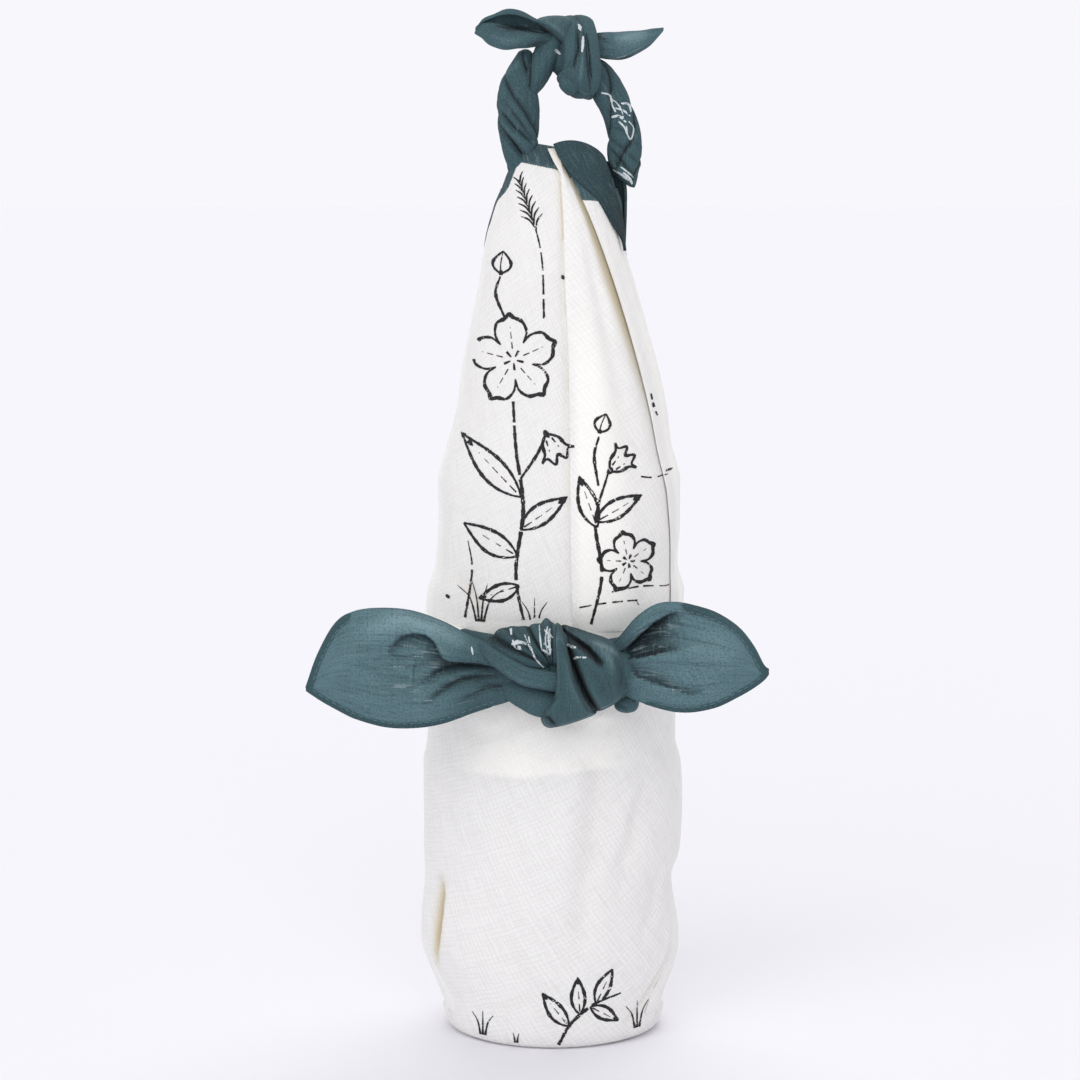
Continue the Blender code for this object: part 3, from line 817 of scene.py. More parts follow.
@dataclass(frozen=True)
class BodyForm:
    """The outside of the wrapped bottle: half-widths and depths by height."""

    heights: tuple[float, ...] = (
        0.0, 1.6, 6.0, 14.0, 23.0, 31.0, 45.0, 54.0, 64.0, 80.0, 94.0, 104.0, 118.0, 134.0, 148.0,
        156.0, 166.0, 180.0, 194.0, 208.0, 222.0, 236.0, 250.0, 264.0, 278.0, 290.0, 298.0, 304.0, 308.5,
        311.0,
    )
    left: tuple[float, ...] = (
        33.5, 37.0, 38.8, 40.2, 43.2, 45.6, 46.0, 45.3, 45.6, 45.6, 45.7, 44.2, 43.6, 43.6, 44.6,
        43.8, 40.9, 39.9, 40.0, 36.8, 33.2, 31.2, 28.5, 25.5, 23.4, 19.8, 17.0, 14.6, 12.4, 9.0,
    )
    right: tuple[float, ...] = (
        34.0, 37.5, 39.4, 40.1, 42.6, 43.8, 43.0, 42.2, 45.0, 45.7, 45.3, 43.2, 43.2, 43.8, 46.2,
        46.2, 43.8, 44.6, 44.6, 41.4, 39.6, 36.4, 32.2, 28.2, 24.6, 23.6, 21.4, 19.2, 17.0, 13.0,
    )
    front: tuple[float, ...] = (
        34.0, 36.6, 38.2, 38.8, 39.2, 39.5, 39.8, 40.0, 40.2, 40.5, 40.8, 40.8, 40.4, 40.0, 40.0,
        39.6, 39.0, 38.2, 36.8, 34.4, 31.8, 28.8, 25.8, 22.6, 19.2, 15.8, 12.6, 9.6, 6.4, 3.0,
    )
    back: tuple[float, ...] = (
        34.0, 37.0, 38.8, 39.6, 40.4, 41.0, 41.6, 42.0, 42.3, 42.6, 42.9, 43.0, 43.0, 43.0, 42.6,
        42.2, 41.6, 40.4, 38.6, 36.4, 33.8, 31.0, 28.0, 24.8, 21.4, 18.0, 14.8, 11.6, 8.4, 4.6,
    )

    def reach(self, name: str, z: np.ndarray | float) -> np.ndarray:
        """One of the half-sizes at heights."""
        return Smooth(self.heights, getattr(self, name))(z)

    def at(self, angle: np.ndarray, z: np.ndarray, lift: np.ndarray | float = 0.0) -> np.ndarray:
        """Places on the body.

        Args:
            angle: degrees from the front, 90 at the right.
            z: heights.
            lift: how far outside the body.

        Returns:
            The places, in millimetres.
        """
        angle, z, lift = np.broadcast_arrays(np.asarray(angle, float), z, lift)
        side, ahead = np.sin(np.radians(angle)), np.cos(np.radians(angle))
        reach_x = np.where(side > 0.0, self.reach("right", z), self.reach("left", z))
        reach_y = np.where(ahead > 0.0, self.reach("front", z), self.reach("back", z))
        return np.stack([side * (reach_x + lift), -ahead * (reach_y + lift), z], axis=-1)

    def angle(self, x: np.ndarray | float, z: np.ndarray | float) -> np.ndarray:
        """The angle at which the front reaches x."""
        reach = np.where(np.asarray(x) > 0.0, self.reach("right", z), self.reach("left", z))
        return np.degrees(np.arcsin(np.clip(np.asarray(x) / reach, -1.0, 1.0)))

    def arc(self, angle: np.ndarray, z: np.ndarray) -> np.ndarray:
        """Length round the body from the front to an angle."""
        wide = 0.5 * (self.reach("left", z) + self.reach("right", z))
        deep = 0.5 * (self.reach("front", z) + self.reach("back", z))
        return np.radians(angle) * 0.5 * (wide + deep)

    def beyond_arc(self, arc: np.ndarray, z: np.ndarray, lift: np.ndarray) -> np.ndarray:
        """Places on the body by arc and height, so far outside it."""
        return self.at(np.degrees(arc / self.arc(np.degrees(1.0), z)), z, lift)

    def line(self, places: list[tuple[float, float]], **how: float) -> Line:
        """A line drawn on the front by x and height, as one on the body by arc and height."""
        drawn = tuple((float(self.arc(self.angle(x, z), z)), z) for x, z in places)
        return Line(drawn, **how)


FOLD_ONE = [(1.7, 310.2), (2.4, 302.2), (3.4, 285.0), (3.8, 267.1), (5.0, 240.0), (5.4, 218.9), (5.6, 195.0),
            (5.8, 171.0), (6.4, 149.0)]
SIDE_END = 76.0
FOLD_TWO = [(1.0, 309.4), (2.6, 306.2), (4.9, 301.6), (8.0, 295.4), (12.5, 285.0), (20.4, 263.0),
            (26.6, 242.7),
            (33.1, 218.1), (35.6, 205.8), (39.0, 190.0), (40.4, 169.0), (40.2, 149.0)]
FLAP_LOW = ((8.0, 10.2, 15.4, 24.0), (292.4, 292.0, 291.6, 290.5))


def fold_arc(fold: list[tuple[float, float]], form: BodyForm, z: np.ndarray) -> np.ndarray:
    """How far round the body a fold of the front lies at heights."""
    x = Smooth(tuple(p[1] for p in reversed(fold)), tuple(p[0] for p in reversed(fold)))(z)
    return form.arc(form.angle(x, z), z)


@dataclass
class BodyCloth:
    """The single cloth round the bottle, from the base to the saddle of the handle."""

    form: BodyForm = field(default_factory=BodyForm)
    front_columns: int = 176
    back_columns: int = 112
    rows: int = 262
    window_depth: float = 1.1
    under_panel: float = 1.4
    slit_keys: tuple[float, ...] = (233.0, 249.3, 268.3, 288.3, 297.1, 300.0)
    slit_share: tuple[float, ...] = (0.0, 0.75, 1.0, 1.0, 0.8, 0.0)
    slit_middle: tuple[float, float] = (4.4, 1.6)
    slit_half: tuple[float, float] = (4.5, 3.9)

    def slit_angle(self, side: Side, z: np.ndarray, at_back: bool) -> np.ndarray:
        """The angle of the front or back panel's edge at a side slit."""
        k = 0 if side is Side.LEFT else 1
        opened = np.where(z > self.slit_keys[0], Smooth(self.slit_keys, self.slit_share)(z), 0.0)
        y = self.slit_middle[k] + (1.0 if at_back else -1.0) * self.slit_half[k] * opened
        y = y * smooth_step(310.0, 302.0, z)
        reach = np.where(y > 0.0, self.form.reach("back", z), self.form.reach("front", z))
        return np.degrees(np.arccos(np.clip(-y / reach, -1.0, 1.0)))

    def front_lines(self) -> list[Line]:
        """Troughs, ridges and edges of the front, some with a brownish painted shade in them."""
        line = self.form.line
        return [
            line([(16.4, 116.0), (15.4, 90.0), (13.0, 62.0), (9.4, 34.0)], depth=-2.7, width=5.5,
                 shade=0.13, ends=0.4),
            line([(7.4, 114.0), (6.0, 90.0), (3.4, 62.0)], depth=0.8, width=5.0),
            line([(34.0, 100.0), (30.0, 86.0), (26.4, 70.0), (23.0, 52.0)], depth=-1.9, width=4.6,
                 shade=0.11),
            line([(30.0, 96.0), (26.0, 82.0), (23.6, 68.0)], depth=0.7, width=3.0),
            line([(40.0, 66.0), (36.0, 50.0), (30.0, 34.0)], depth=-1.0, width=3.8, shade=0.06),
            line([(-26.0, 116.0), (-18.0, 100.0), (-15.0, 70.0)], depth=-0.9, width=6.0, shade=0.05),
            line([(-6.0, 112.0), (-2.0, 92.0), (-4.0, 66.0)], depth=-0.5, width=5.0, shade=0.04),
            line([(-38.6, 57.0), (-40.2, 46.0), (-41.2, 36.0), (-41.0, 25.0)], depth=-2.6, width=2.6,
                 shade=1.0,
                 sharp=True),
            line([(-38.6, 54.0), (-39.8, 46.0), (-40.8, 37.0)], depth=-1.2, width=2.8, shade=0.95, ends=0.7),
            line([(-36.6, 56.0), (-37.6, 44.0), (-38.4, 30.0)], depth=1.0, width=2.4),
            line([(42.6, 36.0), (38.0, 24.0), (31.0, 13.5), (25.0, 7.0)], depth=-1.5, width=2.0, shade=0.3,
                 sharp=True),
            line([(41.0, 42.0), (40.0, 30.0), (33.0, 17.5), (27.0, 10.0)], depth=0.9, width=2.4),
            line([(-1.0, 118.0), (6.0, 106.0), (20.0, 95.0)], depth=-0.4, width=3.5),
            line([(-8.0, 119.0), (-16.0, 112.0), (-30.0, 108.0)], depth=-0.6, width=3.0),
            line([(26.0, 121.0), (34.0, 112.0), (38.0, 100.0)], depth=-0.6, width=3.0),
            line(FOLD_ONE, depth=-0.9, width=1.5, shade=0.30, side=1, ends=0.2),
            line(FOLD_ONE[:4], depth=-0.4, width=0.7, shade=0.7, side=1, ends=0.3),
            line([(-20.0, 160.0), (-13.0, 185.0), (-9.0, 215.0), (-6.0, 250.0)], depth=-0.6, width=6.0),
            line([(-30.0, 152.0), (-27.0, 175.0), (-20.0, 205.0)], depth=-0.7, width=4.5),
            line([(-38.0, 152.0), (-36.0, 170.0), (-33.0, 190.0)], depth=0.6, width=3.0),
            line([(-23.0, 146.0), (-26.0, 156.0), (-33.0, 164.0)], depth=-0.9, width=2.2, shade=0.35),
            line([(30.0, 148.0), (36.0, 158.0), (41.0, 166.0)], depth=-0.9, width=2.2, shade=0.4),
            line([(-8.0, 292.0), (-12.0, 272.0), (-16.0, 250.0)], depth=-0.4, width=3.0),
        ]

    def beneath(self, arc: np.ndarray, z: np.ndarray) -> np.ndarray:
        """1 where the pleat and the side panel lie over the body's cloth."""
        edge = tuple(sorted((p[1], float(self.form.arc(self.form.angle(*p), p[1]))) for p in FOLD_ONE))
        first = Smooth(tuple(e[0] for e in edge), tuple(e[1] for e in edge))(z)
        last = self.form.arc(np.full(z.shape, SIDE_END), z)
        across = smooth_step(first + 2.4, first + 4.2, arc) * smooth_step(last - 1.5, last - 6.0, arc)
        return across * smooth_step(147.0, 152.0, z) * smooth_step(309.0, 303.0, z)

    def back_opening(self, z: np.ndarray) -> np.ndarray:
        """Half the angle over which the back panel shows between the crossing flaps."""
        upper = Smooth((160.0, 168.0, 178.0, 196.0, 232.0, 262.0, 284.0, 296.0),
                       (0.0, 4.0, 10.0, 22.0, 42.0, 60.0, 72.0, 78.0))
        lower = Smooth((7.0, 20.0, 34.0, 58.0, 80.0, 99.0, 112.0),
                       (113.7, 103.3, 88.0, 62.0, 38.0, 13.0, 0.0))
        return np.where(z > 140.0, upper(z), lower(z))

    def build(self, tailor: Tailor) -> bpy.types.Object:
        """Make the body's cloth.


        Returns:
            The object.
        """
        form = self.form
        inner = np.array([0.02, 0.35, 0.7, 0.93])
        heights = np.concatenate([np.full(4, 0.05), np.linspace(0.05, 311.0, self.rows),
                                  [311.3, 311.5, 311.6]])
        shrink = np.concatenate([inner, np.ones(self.rows), [0.8, 0.4, 0.03]])
        grid_z, angle = [], []
        for z in heights:
            edges = [float(self.slit_angle(side, np.array(z), back)) for side in Side
                     for back in (False, True)]
            left_front, left_back, right_front, right_back = edges
            ahead = np.linspace(-left_front, right_front, self.front_columns)
            behind = np.linspace(right_back, 360.0 - left_back, self.back_columns)
            angle.append(np.concatenate([ahead, behind]))
            grid_z.append(np.full(len(angle[-1]), z))
        angle, z = np.array(angle), np.array(grid_z)
        turned = (angle + 180.0) % 360.0 - 180.0
        arc = form.arc(turned, z)
        lift, shade = lay(self.front_lines(), arc, z)
        lift = lift - self.under_panel * self.beneath(arc, z)
        half = self.back_opening(z)
        beyond = (np.abs(turned) - (180.0 - half)) * np.radians(1.0) * 0.5 * (
            form.reach("left", z) + form.reach("back", z))
        arc_back = form.arc(angle - 180.0, z)
        in_window = smooth_step(-0.4, 0.4, beyond) * smooth_step(7.0, 9.0, z)
        lift -= self.window_depth * in_window
        drawn = Ripples(9.0, 26.0, 0.8, SEED)(arc, z)
        soft = Ripples(3.5, 8.0, 0.3, SEED + 1)(arc, z)
        calm = smooth_step(2.0, 12.0, z) * smooth_step(311.0, 300.0, z)
        lift += (0.16 * drawn + 0.05 * soft) * calm
        points = form.at(angle, z, lift)
        points[..., 0] *= shrink[:, None]
        points[..., 1] *= shrink[:, None]
        points[..., 2] = np.maximum(points[..., 2], 0.02)
        slope = np.clip(0.20 * (points[..., 0] + 6.0), -0.4, 1.5) + 0.03 * np.abs(points[..., 1])
        points[..., 2] -= slope * smooth_step(303.0, 311.0, z)
        teal = self.border(points, turned, z, beyond)
        # Painted shade over the teal saddle at the top.
        shade = shade + 0.46 * smooth_step(-0.2, 0.4, teal) * smooth_step(286.0, 296.0, z)
        patch = Patch(
            points,
            flat=np.where((beyond > 0.0)[..., None], self.laid_flat(arc_back * 0.8, z),
                          self.laid_flat(arc, z)),
            teal=teal,
            layers=self.doubling(points, turned, z, in_window),
            shade=shade,
            closed=True,
        )
        patch.flat = np.concatenate([patch.flat,
                                     patch.flat[:, :1] + patch.flat[:, -1:] - patch.flat[:, -2:-1]], axis=1)
        item = tailor.mesh("body_cloth", patch, tailor.finishes.cotton)
        self.open_slits(item)
        wide, long = patch.lengths()
        tailor.dress(item)
        return item

    def laid_flat(self, arc: np.ndarray, z: np.ndarray) -> np.ndarray:
        """Where the body's points lie on the flat cloth, whose yarns run on the bias here."""
        lean = np.radians(62.0 - 7.0 * np.clip(arc / 40.0, -1.5, 1.5))
        up = z - 80.0
        up = np.where(z > 150.0, 70.0 + (z - 150.0), up)
        return on_bias(arc, up, lean)

    def border(self, points: np.ndarray, turned: np.ndarray, z: np.ndarray, beyond: np.ndarray) -> np.ndarray:
        """Distance inside the teal border, negative outside it."""
        x = points[..., 0]
        front_left = z - (302.2 + (2.1 - x) * 0.20)
        front_right = z - np.interp(x, *FLAP_LOW)
        front = np.where(x < 4.5, front_left, front_right)
        sliver = -x - self.form.reach("left", z) - 0.6 + 3.0 * smooth_step(289.0, 297.0, z)
        front = np.maximum(front, sliver)
        flap = Smooth((150.0, 176.0, 200.0, 240.0, 270.0, 284.0, 292.0),
                      (17.0, 20.0, 24.0, 31.0, 40.0, 60.0, 90.0))(z)
        shoulder = z - Smooth((-180.0, -135.0, -110.0, -92.0, -80.0, 80.0, 92.0, 110.0, 135.0, 180.0),
                              (301.0, 297.0, 295.0, 293.0, 298.0, 298.0, 272.0, 280.0, 292.0, 301.0))(turned)
        behind = np.maximum(np.where((beyond < 0.0) & (z > 140.0), flap + beyond, -20.0), shoulder)
        return np.where(np.abs(turned) < np.where(z > self.slit_keys[0], 92.0, 88.0), front, behind)

    def doubling(self, points: np.ndarray, turned: np.ndarray, z: np.ndarray,
                 in_window: np.ndarray) -> np.ndarray:
        """1 where the cloth lies double or folded behind, 0 where one layer covers the bottle."""
        x, ahead = points[..., 0], np.abs(turned) < 90.0
        level_edge = 97.2 + 1.2 * np.sin(x / 11.0)
        lower = 0.85 * smooth_step(-1.8, 1.6, z - level_edge) * smooth_step(-40.0, -20.0,
                                                                            x) * smooth_step(36.0, 12.0, x)
        upper = 0.18 + 0.15 * smooth_step(250.0, 290.0, z)
        level = np.where(z > 150.0, upper, lower)
        level = np.where(ahead & (x > 30.0) & (z > 150.0), 1.0, level)
        sides = smooth_step(62.0, 84.0, np.abs(turned))
        level = level + (np.where(z > 120.0, 0.7, 0.35) - level) * sides
        return np.where(ahead, level, 0.75 - 0.6 * in_window)

    def open_slits(self, item: bpy.types.Object) -> None:
        """Part the front and back panels at the slits, and join them where they meet."""
        columns = self.front_columns + self.back_columns
        edit = bmesh.new()
        edit.from_mesh(item.data)
        edit.verts.ensure_lookup_table()
        gaps = []
        for face in edit.faces:
            here = sorted(v.index % columns for v in face.verts)
            right_seam = here[0] == self.front_columns - 1 and here[-1] == self.front_columns
            left_seam = here[0] == 0 and here[-1] == columns - 1
            if right_seam or left_seam:
                gaps.append(face)
        bmesh.ops.delete(edit, geom=gaps, context="FACES")
        bmesh.ops.remove_doubles(edit, verts=edit.verts, dist=0.01 * MM)
        edit.to_mesh(item.data)
        edit.free()


@dataclass
class FrontPleat:
    """The long pleat that falls from the apex of the front, its edges rolled under."""

    form: BodyForm
    rows: int = 200
    columns: int = 64
    lift: float = 2.0
    low: float = 146.0
    high: float = 309.6

    def build(self, tailor: Tailor) -> bpy.types.Object:
        """Make the pleat."""
        z = np.linspace(self.low, self.high, self.rows)
        left = fold_arc(FOLD_ONE, self.form, z)
        right = fold_arc(FOLD_TWO, self.form, z)
        wide = right - left
        ease = np.clip(wide / 9.0, 0.12, 1.0)
        lift = self.lift * (0.35 + 0.65 * ease) * smooth_step(self.low - 1.0, self.low + 10.0, z)
        ones = np.ones_like(z)
        flank = np.clip(wide / 16.0, 0.25, 1.0)
        section = [
            (left + 3.4 * ease, 0.05 * ones),
            (left + 1.3 * ease, 0.08 * ones),
            (left + 0.2 * ease, 0.30 * lift),
            (left + 0.1 * ease, 0.72 * lift),
            (left + 1.0 * ease, lift),
            (left + 0.16 * wide, 1.12 * lift),
            (left + 0.34 * wide, 1.25 * lift),
            (right - 8.4 * flank, 1.10 * lift),
            (right - 5.2 * flank, 0.84 * lift),
            (right - 3.0 * flank, 0.46 * lift),
            (right - 1.2 * flank, 0.12 * lift),
            (right + 0.8 * ease, -0.1 * ones),
            (right + 2.4 * ease, -0.2 * ones),
        ]
        arc, out, zz = over_rows(section, z, self.columns)
        share = (arc - left[:, None]) / wide[:, None]
        top = smooth_step(0.4, 1.0, out / np.maximum(lift[:, None], 0.1))
        out = out - 1.3 * top * bell(share, 0.56, 0.11) * smooth_step(285.0, 250.0, zz)
        out = out + 0.6 * top * bell(share, 0.34, 0.10) * smooth_step(285.0, 250.0, zz)
        out = out + top * (0.14 * Ripples(10.0, 30.0, 0.85, SEED + 3)(arc, zz))
        points = self.form.beyond_arc(arc, zz, out)
        # Painted brownish shade down the right flank, strongest towards the top, and faintly in a trough down
        # the middle.
        near = (right[:, None] - arc) / flank[:, None]
        shade = smooth_step(7.0, 0.5, near) * (0.14 + 0.56 * smooth_step(205.0, 262.0, zz))
        shade = np.maximum(shade, smooth_step(1.4, 0.0, near) * (0.16 + 0.5 * smooth_step(225.0, 262.0, zz)))
        shade = np.maximum(shade, 0.11 * bell(share, 0.56, 0.10) * smooth_step(270.0, 240.0, zz))
        flat = on_bias(arc, zz, math.radians(56.0))
        layers = 0.25 + 0.75 * smooth_step(0.0, 0.12, share) * smooth_step(0.62, 0.35, share)
        # Towards the top the pleat takes one middling colour between single and doubled cloth, darker on its
        # crest: painted shade that evens out the extra light its upward slope catches.
        layers = layers + (0.45 - layers) * smooth_step(215.0, 260.0, zz)
        return tailor.sheet("front_pleat", Patch(points, flat=flat, teal=WHITE, layers=layers, shade=shade))


@dataclass
class SidePanel:
    """The panel at the right, whose folded edge lies over the pleat's flank."""

    form: BodyForm
    cloth: BodyCloth
    rows: int = 210
    columns: int = 72
    lift: float = 1.9
    low: float = 146.0
    high: float = 306.0

    def build(self, tailor: Tailor) -> bpy.types.Object:
        """Make the panel."""
        z = np.linspace(self.low, self.high, self.rows)
        edge = fold_arc(FOLD_TWO, self.form, z)
        wide = self.form.arc(np.full(z.shape, SIDE_END), z) - edge
        ease = np.clip(wide / 12.0, 0.2, 1.0)
        full = self.lift * (0.55 + 0.45 * smooth_step(205.0, 245.0, z))
        full = full * (0.45 + 0.55 * smooth_step(4.0, 16.0, wide)) * smooth_step(self.low - 1.0,
                                                                                 self.low + 10.0, z)
        ones = np.ones_like(z)
        section = [
            (edge + 3.4 * ease, 0.30 * full), (edge + 1.3 * ease, 0.34 * full),
            (edge + 0.25 * ease, 0.48 * full),
            (edge, 0.78 * full), (edge + 0.5 * ease, 0.98 * full), (edge + 2.2 * ease, 1.02 * full),
            (edge + 0.24 * wide, 0.90 * full), (edge + 0.45 * wide, 0.62 * full),
            (edge + 0.68 * wide, 0.32 * full),
            (edge + 0.88 * wide, 0.12 * full), (edge + 0.97 * wide, -0.10 * ones), (edge + wide, -0.6 * ones),
        ]
        arc, out, zz = over_rows(section, z, self.columns)
        off = arc - edge[:, None]
        crest = bell(off, 7.0, 3.2) - 0.9 * bell(off, 13.0, 3.0)
        out = out + 0.5 * crest * smooth_step(205.0, 235.0, zz) * smooth_step(292.0, 270.0, zz)
        out = out + 0.12 * Ripples(9.0, 26.0, 0.8, SEED)(arc, zz) * smooth_step(0.5, 3.0, off)
        points = self.form.beyond_arc(arc, zz, out)
        teal = zz - np.interp(points[..., 0], *FLAP_LOW)
        # Painted shade at the folded edge, and over the upper panel, more on the teal.
        shade = smooth_step(0.9, 0.0, off) * 0.26 * smooth_step(1.0, 0.6,
                                                                out / np.maximum(full[:, None], 0.2))
        shade = shade + np.where(teal > 0.0, 0.30, 0.10) * smooth_step(240.0, 275.0, zz)
        layers = 0.35 + 0.65 * smooth_step(2.5, 12.0, off)
        return tailor.sheet("side_panel",
                            Patch(points, flat=self.cloth.laid_flat(arc, zz), teal=teal, layers=layers,
                                                shade=shade))


@dataclass
class ShoulderFlaps:
    """The teal layers at the top right, and the thin edge that shows at the left."""

    form: BodyForm
    thickness: float = 0.5

    def build(self, tailor: Tailor) -> list[bpy.types.Object]:
        """Make the flaps."""
        left = Smooth((274.0, 277.4, 284.5, 292.0, 299.5, 309.3, 312.0),
                      (24.6, 24.0, 19.8, 15.2, 7.5, 1.0, 0.0))
        right = Smooth((274.0, 276.6, 284.5, 291.6, 299.5, 307.3, 309.7, 312.0),
                       (25.2, 24.9, 24.2, 22.4, 19.6, 17.9, 15.8, 12.0))
        rows = []
        for z in np.linspace(274.6, 311.4, 60):
            low, high = float(left(z)), float(right(z))
            shares = np.linspace(0.0, 1.0, 34)
            x = low + (high - low) * shares
            reach = float(self.form.reach("right", z)) + 1.6
            stand = 2.4 + 0.9 * np.sin(np.pi * shares) - 0.9 * shares
            depth = float(self.form.reach("front", z)) + stand
            y = -depth * np.sqrt(np.clip(1.0 - (x / reach) ** 2, 0.0, 1.0)) - 0.4
            y = y + 0.7 * smooth_step(0.06, 0.0, shares)
            sag = 0.35 * Ripples(7.0, 16.0, 0.3, SEED + 5)(x, np.full_like(x, z))
            crown = 1.5 * (2.0 * shares - 0.9) ** 2 * smooth_step(300.0, 311.4, z)
            rows.append(np.stack([x, y + sag, z + 0.9 * smooth_step(306.0, 311.4, z) - crown], axis=1))
        # Painted shade on the dagger flap, darker towards its lower rows and its right edge.
        flap_painted_shade = np.linspace(0.80, 0.24, 60)[:, None] + np.linspace(-0.05, 0.22, 34)[None, :] ** 2 * 3.0
        dagger = tailor.sheet("shoulder_flap", Patch(np.array(rows), layers=0.9, shade=flap_painted_shade),
                              thickness=self.thickness)
        rails = [
            [(12.0, 2.4, 305.0), (14.0, 4.4, 298.0), (16.0, 6.4, 290.0), (17.0, 7.4, 282.0),
             (20.0, 6.4, 275.5)],
            [(16.4, 2.0, 305.2), (19.0, 3.4, 298.0), (20.6, 4.8, 290.0), (21.8, 4.8, 282.0),
             (23.0, 4.0, 275.5)],
            [(20.6, 1.6, 305.2), (23.4, 2.2, 298.0), (24.2, 2.6, 290.0), (24.3, 2.4, 282.0),
             (24.4, 1.8, 275.0)],
            [(22.9, 1.0, 304.6), (25.2, 0.6, 297.0), (25.4, 0.4, 289.0), (25.2, 0.2, 281.0),
             (24.9, 0.0, 274.4)],
            [(22.2, 0.2, 304.0), (24.6, -0.4, 296.0), (24.7, -0.6, 288.4), (24.8, -0.6, 280.6),
             (24.7, -0.6, 274.4)],
        ]
        # The thin edge gets an even painted shade.
        edge = tailor.sheet("back_panel_edge", Patch(cage(rails, 44, 26), layers=0.9, shade=0.5),
                            thickness=self.thickness)
        return [dagger, edge]


@dataclass
class BackFlaps:
    """The hemmed edges of the two flaps that cross behind, standing over the back panel."""

    form: BodyForm
    cloth: BodyCloth
    overlap: float = 9.0

    def build(self, tailor: Tailor) -> list[bpy.types.Object]:
        """Make a rolled edge along each side of both openings."""
        made = []
        for name, low, high, teal in (("upper", 161.0, 296.0, True), ("lower", 9.0, 111.0, False)):
            for side in Side:
                z = np.linspace(low, high, 110)
                half = self.cloth.back_opening(z)
                edge = 180.0 - half
                girth = self.form.arc(np.degrees(1.0), z)
                steps = np.array([(-0.9, -1.1), (-1.5, -0.3), (-1.1, 0.5), (0.2, 0.85), (2.0, 0.8),
                                  (5.0, 0.45),
                                  (self.overlap, -0.35)])
                profile = evenly(steps, 26)
                off = -profile[:, 0][None, :]
                uneven = 0.35 * Ripples(9.0, 24.0, 0.0, SEED + (1 if side is Side.LEFT else 2))(z, z)[:, None]
                angle = edge[:, None] + np.degrees((off + uneven) / girth[:, None])
                lift = np.repeat(profile[:, 1][None, :], len(z), axis=0)
                fade = smooth_step(low, low + 6.0, z) * smooth_step(high, high - 6.0, z)
                lift = lift * (0.25 + 0.75 * fade[:, None])
                zz = np.repeat(z[:, None], off.shape[1], axis=1)
                points = self.form.at(side.value * angle, zz, lift + 0.1)
                flat = on_bias(self.form.arc(angle, zz), zz, math.radians(45.0))
                doubled = 0.8 if teal else 0.28 + 0.5 * smooth_step(30.0, 72.0, zz)
                if side is Side.RIGHT:
                    points, flat = points[:, ::-1], flat[:, ::-1]
                made.append(tailor.sheet(f"{name}_flap_edge_{side.name.lower()}",
                                         Patch(points, flat=flat, teal=TEAL if teal else WHITE,
                                               layers=doubled)))
        return made


@dataclass
class WaistBands:
    """The two gathered bands from the crossing behind to the bow."""

    form: BodyForm
    pleats: int = 7
    over: tuple[tuple[float, ...], ...] = (
        (-147.0, 138.0, 14.0, -3.8, -2.0), (-160.0, 139.0, 18.0, 0.0, 2.2), (-180.0, 137.0, 19.5, 2.0, 5.4),
        (-205.0, 134.0, 19.0, 1.8, 5.2), (-235.0, 132.5, 18.0, 1.0, 4.2), (-270.0, 132.5, 17.0, 1.0, 4.2),
        (-300.0, 133.3, 14.3, 1.2, 5.2), (-322.0, 134.0, 11.0, 2.2, 7.6), (-343.0, 134.5, 9.0, 4.0, 11.0),
    )
    under: tuple[tuple[float, ...], ...] = (
        (158.0, 136.0, 14.0, -3.8, -2.4), (171.0, 135.0, 18.5, 0.2, 1.6), (188.0, 131.0, 19.0, 1.0, 3.4),
        (212.0, 127.5, 18.0, 1.2, 4.4), (240.0, 129.5, 17.0, 1.0, 4.2), (270.0, 132.0, 16.0, 1.0, 4.2),
        (300.0, 133.5, 14.0, 1.2, 5.2), (322.0, 135.0, 11.0, 2.2, 7.4), (343.0, 136.0, 9.0, 4.0, 11.0),
    )

    def band(self, tailor: Tailor, name: str, rows: tuple[tuple[float, ...], ...],
             seed: int) -> bpy.types.Object:
        """One band, gathered into uneven pleats along its length.

        Args:
            name: its name.
            rows: angle, middle's height, half its height, and how far its edges and crown stand off.
            seed: sets its pleats apart from the other band's.

        Returns:
            The object.
        """
        order = 1.0 if rows[-1][0] > rows[0][0] else -1.0
        keys = tuple(order * row[0] for row in rows)
        at = np.linspace(keys[0], keys[-1], 210)
        z, tall, edge, crown = [Smooth(keys, tuple(row[k] for row in rows))(at)[:, None] for k in range(1, 5)]
        turn = np.linspace(-0.12, 1.12, 74)[None, :] * math.pi
        across = np.cos(np.clip(turn, 0.0, math.pi))
        lift = edge + (crown - edge) * np.sin(np.clip(turn, 0.0, math.pi))
        tucked = np.where((turn < 0.0) | (turn > math.pi), -1.4, 0.0)
        chance = np.random.default_rng(seed)
        folds = np.zeros(lift.shape)
        run = at[:, None] * 0.75
        for _ in range(self.pleats):
            place = chance.uniform(-0.85, 0.85) + 0.10 * np.sin(run / chance.uniform(18.0, 40.0)
                                                                + chance.uniform(0, 6))
            width = chance.uniform(0.05, 0.11)
            depth = chance.uniform(0.9, 1.9)
            folds = folds - depth * np.exp(-np.abs((across - place) / width) ** 1.4)
        folds = folds + 0.35 * Ripples(6.0, 14.0, 0.6, seed)(across * tall, run)
        inside = np.sin(np.clip(turn, 0.0, math.pi)) ** 0.5
        height = z + tall * across
        points = self.form.at(order * at[:, None], height, lift + tucked + folds * inside)
        near = np.abs((order * at + 180.0) % 360.0 - 180.0)[:, None] + 0.0 * turn
        # Painted shade in the pleats' hollows.
        return tailor.sheet(name, Patch(points, teal=42.0 - near, layers=0.8,
                                        shade=np.clip(-folds * inside * 0.26, 0.0, 0.7)))

    def build(self, tailor: Tailor) -> list[bpy.types.Object]:
        """Make both bands."""
        return [self.band(tailor, "waist_band_under", self.under, 21),
                self.band(tailor, "waist_band_over", self.over, 34)]


# ---------------------------------------------------------------- strands, domes and bow ends


